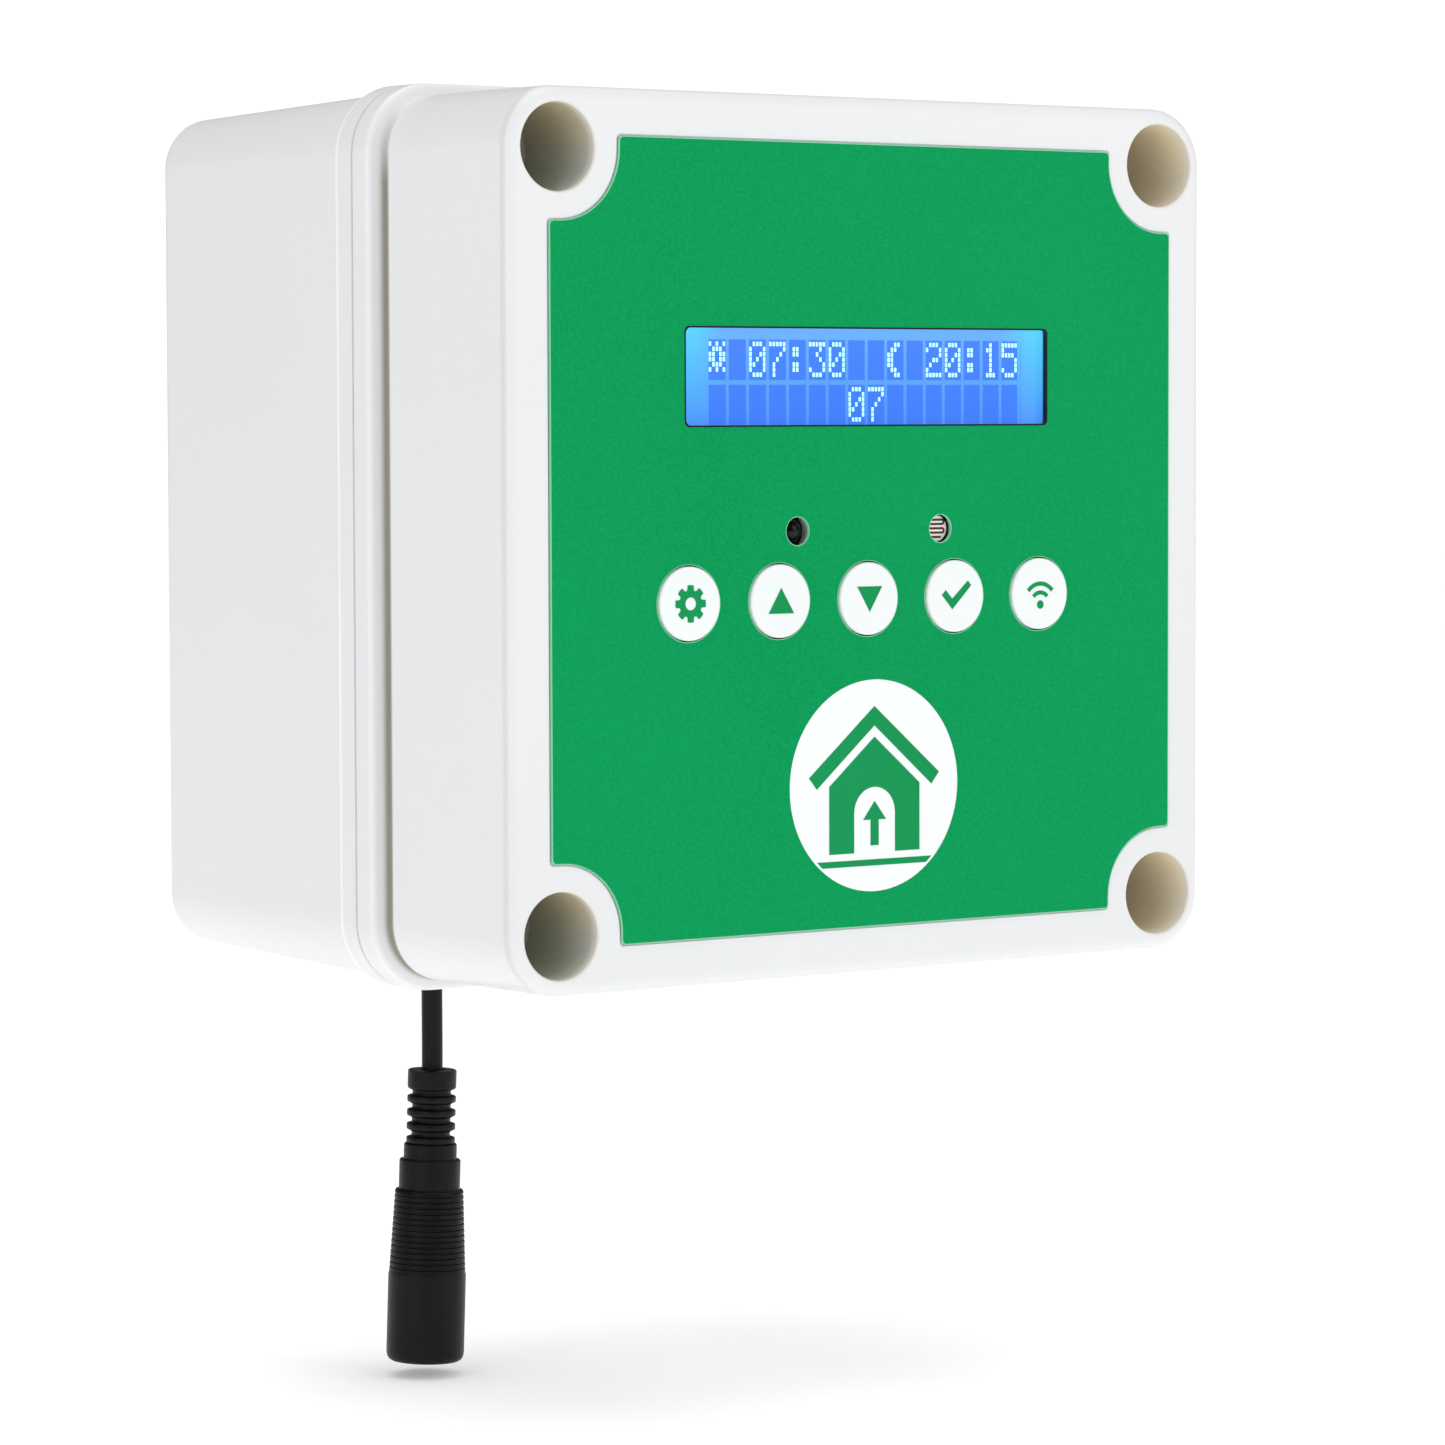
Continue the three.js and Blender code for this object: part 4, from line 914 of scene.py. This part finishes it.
def make_display():
    made, tree, surface, place = start_material("lit display", 0.12, Coat_Weight=1.0, Coat_Roughness=0.04)
    x, _, z = axes(tree, place)
    across = repeat_mask(tree, x, CELL_LEFT, CELL_PITCH, 0.86)
    upward = repeat_mask(tree, z, CELL_LOW, ROW_PITCH, 0.905)
    cells = times(tree, times(tree, across, upward), band(tree, x, *CELL_SPAN, 0.0002))
    cells = times(tree, cells, band(tree, z, *ROW_SPAN, 0.0002))
    ground = mix(tree, band(tree, x, *EVEN_SPAN, 0.009), paint("#54E2FF"), paint("#6CB4FF"))
    ground = mix(tree, ramp(tree, z, 0.016, 0.029), paint("#3F8DF5"), ground)
    texture = grain(tree, place, 1800.0, 60.0)
    ground = mix(tree, times(tree, texture["Tone"], 0.12), ground, paint("#9CC4FF"))
    lit = mix(tree, times(tree, cells, 0.75), ground, paint("#2F6FF0"))
    surface.inputs["Emission Strength"].default_value = 0.85
    dim = mix(tree, cells, paint("#1D4FA8"), paint("#173F94"))
    feed(surface, Emission_Color=lit, Base_Color=dim)
    bump(tree, surface, texture["Height"], 0.01)
    return made


def make_dots():
    made, tree, surface, place = start_material("lit dots", 0.2)
    texture = grain(tree, place, 2500.0, 90.0)
    lit = mix(tree, texture["Tone"], paint("#A0EEFF"), paint("#C4FAFF"))
    feed(surface, Emission_Color=lit, Base_Color=lit)
    surface.inputs["Emission Strength"].default_value = 0.62
    return made


DISPLAY_BLUE, LIT_DOTS = make_display(), make_dots()


# %% Build the display
def block(bm, low, high):
    """A box between two corners."""
    size = Vector(high) - Vector(low)
    matrix = Matrix.Translation((Vector(low) + Vector(high)) / 2) @ Matrix.Diagonal((*size, 1))
    return bmesh.ops.create_cube(bm, size=1, matrix=matrix)["verts"]


GLASS_FRONT = -93.1
GLASS_LOW, GLASS_HIGH, GLASS_ROUND = (-35.0, GLASS_FRONT, 11.7), (34.2, -84.75, 33.9), 0.25
bm = bmesh.new()
block(bm, GLASS_LOW, GLASS_HIGH)
bmesh.ops.bevel(
    bm, geom=bm.edges[:], offset=GLASS_ROUND, offset_type="OFFSET", affect="EDGES", segments=2,
    profile=0.5, material=-1, clamp_overlap=True,
)
finish_piece(bm, "display_face", "case", DISPLAY_BLUE, ["display_glass"])

GLYPHS = {
    "0": "01110 10001 10011 10101 11001 10001 01110",
    "1": "00100 01100 00100 00100 00100 00100 01110",
    "2": "01110 10001 00001 00110 01000 10000 11111",
    "3": "11111 00010 00100 00010 00001 10001 01110",
    "5": "11111 10000 11110 00001 00001 10001 01110",
    "7": "11111 00001 00010 00100 01000 01000 01000",
    ":": "00000 01100 01100 00000 01100 01100 00000",
    "s": "10101 01110 11011 11011 01110 10101 00000",
    "m": "00110 01100 11000 11000 11000 01100 00110",
}
ROWS = ["s 07:30  m 20:15", "       07"]
DOT_WIDE, DOT_HIGH, DOT_THICK = 0.6, 0.72, 0.04
DOT_GAP_X, DOT_GAP_Z = 0.2, 0.12
CELL_EDGE, CELL_HEAD = 0.08, 0.35  # from a cell's left side and top to its first dot


def draw_sign(bm, letter, cell_left, cell_top):
    """The lit tiles of one sign of the alphabet."""
    for line_number, bits in enumerate(GLYPHS.get(letter, "").split()):
        for column in [c for c, bit in enumerate(bits) if bit == "1"]:
            left = cell_left + CELL_EDGE + column * DOT_WIDE
            top = cell_top - CELL_HEAD - line_number * DOT_HIGH
            low = (left, GLASS_FRONT - DOT_THICK / 2, top - DOT_HIGH + DOT_GAP_Z)
            block(bm, low, (left + DOT_WIDE - DOT_GAP_X, GLASS_FRONT + DOT_THICK / 2, top))


bm = bmesh.new()
for row, text in enumerate(ROWS):
    for cell, letter in enumerate(text):
        draw_sign(bm, letter, CELL_LEFT + cell * CELL_PITCH, ROW_TOP - row * ROW_PITCH)
finish_piece(bm, "display_dots", "case", LIT_DOTS, weighted=False)

# %% [markdown]
# ## Sensors
# The receiver for a hand-held sender is a glossy dark dome; a black collar round it is painted
# shade for the bore round the dome. The light sensor is a pale ceramic disc in a black holder, which
# is partly the sensor's dark body and partly painted shade in its hole. The disc carries a thin
# red-brown track that winds from side to side; a small square is pushed straight and swung round by
# turns to draw it.

# %% Build the sensors
LENS_BLACK = plain_finish("dark lens", "#060607", "#020203", 1200.0, 0.0, 0.08, Specular_IOR_Level=0.25)
CERAMIC = plain_finish("sensor ceramic", "#FFFAF7", "#FBEBE4", 2600.0, 0.15, 0.45)
HOLDER_BLACK = plain_finish(
    "sensor holder", "#0C0C0D", "#060607", 2000.0, 0.1, 0.5, Specular_IOR_Level=0.2,
)
TRACK_RED = plain_finish("sensor track", "#4E0F0B", "#360806", 2600.0, 0.1, 0.4)
BOARD_FRONT, LEGS = -80.15, 1.2  # where the sensors' legs end, and their radius
LENS_RADIUS, LENS_SPRING = 1.8, -92.0
DISC_FRONT, HOLDER_FRONT = -93.3, -93.1

dome = arc(0, LENS_SPRING, LENS_RADIUS, -90, 90, 10)
# A black collar round the dome: painted shade for the bore round it.
shade_collar = [(2.5, LENS_SPRING), (2.6, -91.9), (2.6, -91.5), (LENS_RADIUS, -91.5)]
foot = [(LENS_RADIUS, -86), (2.3, -86), (2.3, -85), (LEGS, -85), (LEGS, BOARD_FRONT), (0, BOARD_FRONT)]
turned_piece(
    "receiver_dome", dome + shade_collar + foot, (RECEIVER_X, 0, SENSOR_Z), "Y", 40, "case", LENS_BLACK,
    ["infrared_receiver"],
)

bm = bmesh.new()
# The black holder round the disc: partly the sensor's dark body, partly painted shade in its hole.
disc = [(0, DISC_FRONT), (1.85, DISC_FRONT), (1.95, -93.2), (1.95, -93.0), (2.3, -93.0), (2.5, -92.8)]
disc += [(2.5, -91.4), (2.3, -91.2), (LEGS, -91.2), (LEGS, BOARD_FRONT), (0, BOARD_FRONT)]
spin_profile(bm, disc, (LIGHT_SENSOR_X, 0, SENSOR_Z), "Y", 44)
for face in bm.faces:
    face.material_index = int(face.calc_center_median().y > HOLDER_FRONT)
disc_finishes = [CERAMIC, HOLDER_BLACK]
finish_piece(bm, "light_sensor_disc", "case", disc_finishes, ["light_sensor"])

# %% Draw the sensor's track
TRACK_PITCH, TRACK_WIDE, TRACK_REACH, TRACK_BARS = 0.62, 0.32, 1.05, 5
TRACK_STUB, TRACK_PROUD, TRACK_SUNK = 0.05, 0.03, 0.05


def track(bm, x, y, z, bars):
    """A flat square section pushed along X and swung half a turn at each end."""
    low = (x - TRACK_REACH, y - TRACK_PROUD, z - TRACK_WIDE / 2)
    high = (x - TRACK_REACH + TRACK_STUB, y + TRACK_SUNK, z + TRACK_WIDE / 2)
    verts = block(bm, low, high)
    end = [f for f in bm.faces if f.normal.x > 0.9 and all(v in verts for v in f.verts)]
    way = 1
    for bar in range(bars):
        pushed = bmesh.ops.extrude_face_region(bm, geom=end)["geom"]
        bmesh.ops.delete(bm, geom=end, context="FACES_ONLY")
        end = [g for g in pushed if isinstance(g, bmesh.types.BMFace)]
        moved = {v for f in end for v in f.verts}
        bmesh.ops.translate(bm, verts=list(moved), vec=(way * (2 * TRACK_REACH - TRACK_STUB), 0, 0))
        if bar == bars - 1:
            break
        centre = (x + way * TRACK_REACH, y, z - bar * TRACK_PITCH - TRACK_PITCH / 2)
        swung = bmesh.ops.spin(
            bm, geom=end, cent=centre, axis=(0, way, 0), dvec=(0, 0, 0), angle=math.pi, steps=8,
        )
        bmesh.ops.delete(bm, geom=end, context="FACES_ONLY")
        end = [g for g in swung["geom_last"] if isinstance(g, bmesh.types.BMFace)]
        way = -way


bm = bmesh.new()
track(bm, LIGHT_SENSOR_X, DISC_FRONT, SENSOR_Z + 2 * TRACK_PITCH, TRACK_BARS)
finish_piece(bm, "light_sensor_track", "case", TRACK_RED, weighted=False)

# %% [markdown]
# ## Barrel socket
# The socket is moulded round the end of the lead: a strain relief of four ribs, two steps, a grip
# with fourteen fine rings, and a smooth barrel. It is one section turned about its own axis, then
# leaned and set in place, so the mesh itself holds the lean.

# %% Turn the socket
BLACK, DEEP_BLACK = "#0A0A0B", "#060607"
SOCKET_BLACK = plain_finish(
    "socket moulding", BLACK, DEEP_BLACK, 2400.0, 0.18, 0.4, Specular_IOR_Level=0.2,
)
SOCKET_STEPS = 56
CORD_HOLE, CORD_DEPTH = 1.95, 15.5
RIBS, RIB_TOP, RIB_PITCH = 4, 3.9, 2.07
RINGS, RING_TOP, RING_PITCH, RING_DEPTH = 14, 18.6, 0.84, 0.22
GRIP_RADIUS, GRIP_GROWTH = 5.17, 0.53
RIB = [
    (2.95, -0.78), (2.9, -0.6), (2.9, -0.22), (2.98, -0.1), (3.4, 0), (3.62, 0.1), (3.66, 0.28),
    (3.66, 0.8), (3.6, 0.95), (3.4, 1.05),
]
relief = [(CORD_HOLE, 0), (3.4, 0), (3.62, 0.12), (3.66, 0.35), (3.66, 2.6), (3.55, 2.85), (3.3, 3.0)]
for rib in range(RIBS):
    relief += [(radius, RIB_TOP + rib * RIB_PITCH + down) for radius, down in RIB]
steps = [(3.6, 11.1), (3.9, 11.18), (3.98, 11.4), (3.98, 13.3), (4.05, 13.45), (4.45, 13.5), (4.6, 13.7)]
steps += [(4.6, 17.75), (4.66, 17.95), (5.0, 18.05), (5.15, 18.3)]
grip = []
for ring in range(RINGS):
    top = RING_TOP + ring * RING_PITCH
    out = GRIP_RADIUS + GRIP_GROWTH * ring / (RINGS - 1)
    grip += [(out, top), (out - RING_DEPTH, top + 0.1), (out - RING_DEPTH, top + 0.24), (out, top + 0.34)]
barrel = [(5.72, 30.5), (5.84, 30.75), (5.84, 42.5), (5.76, 43.1), (5.5, 43.6), (5.1, 43.85)]
barrel += [(4.7, 43.9), (3.45, 43.9), (3.3, 43.75), (3.3, 33.4), (0, 33.4)]
cord_bore = [(0, CORD_DEPTH), (CORD_HOLE, CORD_DEPTH), (CORD_HOLE, 0)]


def place_on_lead(bm):
    """Leans the socket about its top and sets it at the end of the lead."""
    lean = Matrix.Rotation(SOCKET_LEAN, 4, "Y")
    spot = Matrix.Translation((GROMMET_X, GROMMET_Y, SOCKET_TOP / MM))
    bmesh.ops.transform(bm, matrix=spot @ lean, verts=bm.verts[:])


bm = bmesh.new()
for section in (relief + steps + grip + barrel, cord_bore):
    spin_profile(bm, [(radius, -down) for radius, down in section], (0, 0, 0), "Z", SOCKET_STEPS)
place_on_lead(bm)
socket = finish_piece(bm, "socket_moulding", "case", SOCKET_BLACK, ["dc_socket"])

# %% [markdown]
# ## Bush and grommet
# Two rings line the holes in the floor: a smooth plastic bush that the lift cord runs through, and
# a small rubber grommet with a short nose that grips the power lead.

# %% Turn the bush and the grommet
BUSH_BLACK = plain_finish("bush moulding", "#1A1A1C", "#121214", 1500.0, 0.12, 0.5)
GROMMET_RUBBER = plain_finish("grommet rubber", "#29292B", "#202022", 1300.0, 0.2, 0.7)
bush_section = [
    (3.4, -64.15), (3.55, -64.5), (3.9, -64.75), (7.6, -64.75), (7.9, -64.65), (8.0, -64.35),
    (8.0, -63.35), (5.6, -63.35), (5.6, -58.9), (8, -58.9), (8, -57.9), (7.8, -57.7), (4.2, -57.7),
    (3.6, -57.9), (3.4, -58.3), (3.4, -64.15),
]
grommet_section = [
    (1.9, -67.3), (2.0, -67.4), (2.55, -67.4), (2.75, -67.2), (3.45, -65.1), (3.75, -64.85),
    (5.7, -64.8), (6.0, -64.5), (6.0, -63.0), (4.1, -63.0), (4.1, -58.9), (6, -58.9), (6, -57.8),
    (5.8, -57.6), (2.1, -57.6), (1.9, -57.8), (1.9, -67.3),
]
turned_piece(
    "lift_cord_bush", bush_section, (BUSH_X, BUSH_Y, 0), "Z", 48, "case", BUSH_BLACK,
    ["cord_bush"],
)
turned_piece(
    "lead_grommet_rubber", grommet_section, (GROMMET_X, GROMMET_Y, 0), "Z", 40, "case", GROMMET_RUBBER,
    ["lead_grommet"],
)

# %% [markdown]
# ## Finishes of the parts inside
# The boards, gears, motor and screws keep their CAD shapes. Each gets a finish that fits how it is
# made: boards with faint tracks under green lacquer, drawn steel with streaks along one way,
# moulded nylon, cast metal.

# %% Metal and board finishes
TRACK_ROWS, TRACK_COLUMNS = 390.0, 260.0  # tracks to the metre


def metal_finish(name, light, dark, roughness, stretch=(1.0, 1.0, 0.05)):
    """Drawn or turned metal: streaks along one way in tone, gloss and height."""
    made, tree, surface, place = start_material(name, roughness, 1.0)
    brushed = node(tree, "ShaderNodeGroup", {"node_tree": BRUSH}, Place=place, Stretch=stretch)
    streak = brushed.outputs["Streak"]
    shine = ramp(tree, streak, first=roughness - 0.08, last=roughness + 0.12)
    feed(surface, Base_Color=mix(tree, streak, paint(dark), paint(light)), Roughness=shine)
    bump(tree, surface, streak, 0.08, 0.00005)
    return made


def board_finish():
    """Copper tracks that show faintly through green lacquer."""
    made, tree, surface, place = start_material("circuit board", 0.35, Coat_Weight=0.3)
    x, _, z = axes(tree, place)
    texture = grain(tree, place, 900.0, 160.0)
    lacquer = mix(tree, texture["Tone"], paint("#14502E"), paint("#1B6339"))
    rows = band(tree, maths(tree, "FRACT", times(tree, z, TRACK_ROWS)), 0.3, 0.45, 0.05)
    columns = band(tree, maths(tree, "FRACT", times(tree, x, TRACK_COLUMNS)), 0.5, 0.6, 0.04)
    kept = maths(tree, "GREATER_THAN", texture["Tone"], 0.5)
    tracks = times(tree, maths(tree, "MAXIMUM", rows, columns), kept)
    feed(surface, Base_Color=mix(tree, tracks, lacquer, paint("#2F8A52")))
    bump(tree, surface, tracks, 0.2)
    return made


FINISHES = {
    "black_steel": plain_finish(
        "black enamelled steel", "#17181A", "#0E0F10", 2000.0, 0.1, 0.4, Coat_Weight=0.3,
    ),
    "soft_black": SOCKET_BLACK,
    "black_plastic": BUSH_BLACK,
    "seal_rubber": GROMMET_RUBBER,
    "circuit_board": board_finish(),
    "screw_steel": metal_finish("screw steel", "#C9CCD0", "#8E9196", 0.32),
    "zinc_steel": metal_finish("zinc plated steel", "#D3D5D0", "#A4A79F", 0.38, (0.08, 1.0, 1.0)),
    "brass": metal_finish("brass", "#D8B45E", "#A9853C", 0.34, (0.1, 1.0, 1.0)),
    "nylon": plain_finish("moulded nylon", "#EEEBE2", "#E0DCCF", 1400.0, 0.08, 0.48, Coat_Weight=0.1),
    "gearbox_metal": metal_finish("cast gearbox metal", "#9A9DA1", "#6F7276", 0.45, (1.0, 1.0, 1.0)),
    "terminal_plastic": plain_finish("terminal plastic", "#338F4C", "#287A3F", 1700.0, 0.08, 0.45),
    "housing": CASING,
    "button_cap": CAP_WHITE,
    "display": DISPLAY_BLUE,
    "front_print": GREEN_PRINT,
    "dark_lens": LENS_BLACK,
    "sensor_ceramic": CERAMIC,
}
slot_of = {part["node"]: part["material_slot"] for part in frame["record"]["subparts"]}
for name, kept in frame["nodes"].items():
    kept.data.materials.clear()
    kept.data.materials.append(FINISHES[slot_of[name]])
print("finishes on", len(frame["nodes"]), "CAD nodes")

# %% [markdown]
# ## Floor and light
# The unit hangs on a wall, and its lead hangs below it, so the pale floor lies just under the
# socket. Two large soft boxes, a wide soft light from above and a bright, plain surround give the
# even light of a product studio.

# %% Lay the floor
WHITE = (1, 1, 1, 1)
FLOOR_GLOW, FLOOR_REACH, FLOOR_GAP = 0.22, 6.0, 0.002


def floor_finish():
    """White paint on a lit table. Its underside is clear, so the unit can be looked at from below."""
    made = plain_finish("studio floor paint", "#FFFFFF", "#FCFCFC", 900.0, 0.02, 0.9)
    tree = made.node_tree
    surface = tree.nodes["Principled BSDF"]
    surface.inputs["Emission Color"].default_value = WHITE
    surface.inputs["Emission Strength"].default_value = FLOOR_GLOW
    under = node(tree, "ShaderNodeNewGeometry").outputs["Backfacing"]
    feed(surface, Alpha=maths(tree, "SUBTRACT", 1.0, under))
    return made


scene.view_settings.view_transform = "Standard"
floor_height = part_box("dc_socket")[0].z - FLOOR_GAP
bm = bmesh.new()
bmesh.ops.create_grid(bm, x_segments=2, y_segments=2, size=FLOOR_REACH)
bmesh.ops.translate(bm, verts=bm.verts[:], vec=(0, 0, floor_height))
ground = bpy.data.meshes.new("studio_floor")
bm.to_mesh(ground)
bm.free()
studio_floor = bpy.data.objects.new("studio_floor", ground)
scene.collection.objects.link(studio_floor)
ground.materials.append(floor_finish())
print("floor at", round(floor_height, 4), "m")

# %% Set up the lights
AIM = Vector((0, -0.05, 0))
CEILING_LIGHT, CEILING_SPREAD = 1.25, math.radians(60)
SURROUND, SURROUND_SEEN, SURROUND_MIRRORED = 0.48, 0.62, -0.34  # the last two for their rays only


def soft_box(name, place, wide, high, power):
    """A rectangle of light that is turned towards the unit."""
    lamp = bpy.data.lights.new(name, "AREA")
    lamp.shape, lamp.size, lamp.size_y = "RECTANGLE", wide, high
    lamp.energy = power
    made = bpy.data.objects.new(name, lamp)
    scene.collection.objects.link(made)
    turn = (AIM - Vector(place)).to_track_quat("-Z", "Y")
    made.matrix_world = Matrix.Translation(place) @ turn.to_matrix().to_4x4()


soft_box("front_box", (0.6, -1.15, 0.5), 0.9, 0.9, 3.4)
soft_box("left_box", (-1.2, -0.45, 0.35), 0.8, 0.9, 2.15)
sun = bpy.data.lights.new("ceiling", "SUN")
sun.energy, sun.angle = CEILING_LIGHT, CEILING_SPREAD
ceiling = bpy.data.objects.new("ceiling", sun)
scene.collection.objects.link(ceiling)
world = bpy.data.worlds.new("studio")
scene.world = world
world.use_nodes = True
tree = world.node_tree
surround = tree.nodes["Background"]
surround.inputs["Color"].default_value = WHITE
rays = node(tree, "ShaderNodeLightPath").outputs
backdrop = times(tree, rays["Is Camera Ray"], SURROUND_SEEN)
mirrored = times(tree, rays["Is Glossy Ray"], SURROUND_MIRRORED)
feed(surround, Strength=maths(tree, "ADD", maths(tree, "ADD", backdrop, mirrored), SURROUND))

# %% [markdown]
# ## The lead
# The lead gets the jacket's finish, rides on the case, and takes the place of the CAD lead.

# %% Finish the lead
LEAD_JACKET = plain_finish("lead jacket", BLACK, DEEP_BLACK, 1800.0, 0.1, 0.38, Specular_IOR_Level=0.2)
lead.data.materials.append(LEAD_JACKET)
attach(lead, "case")
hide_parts("power_lead")
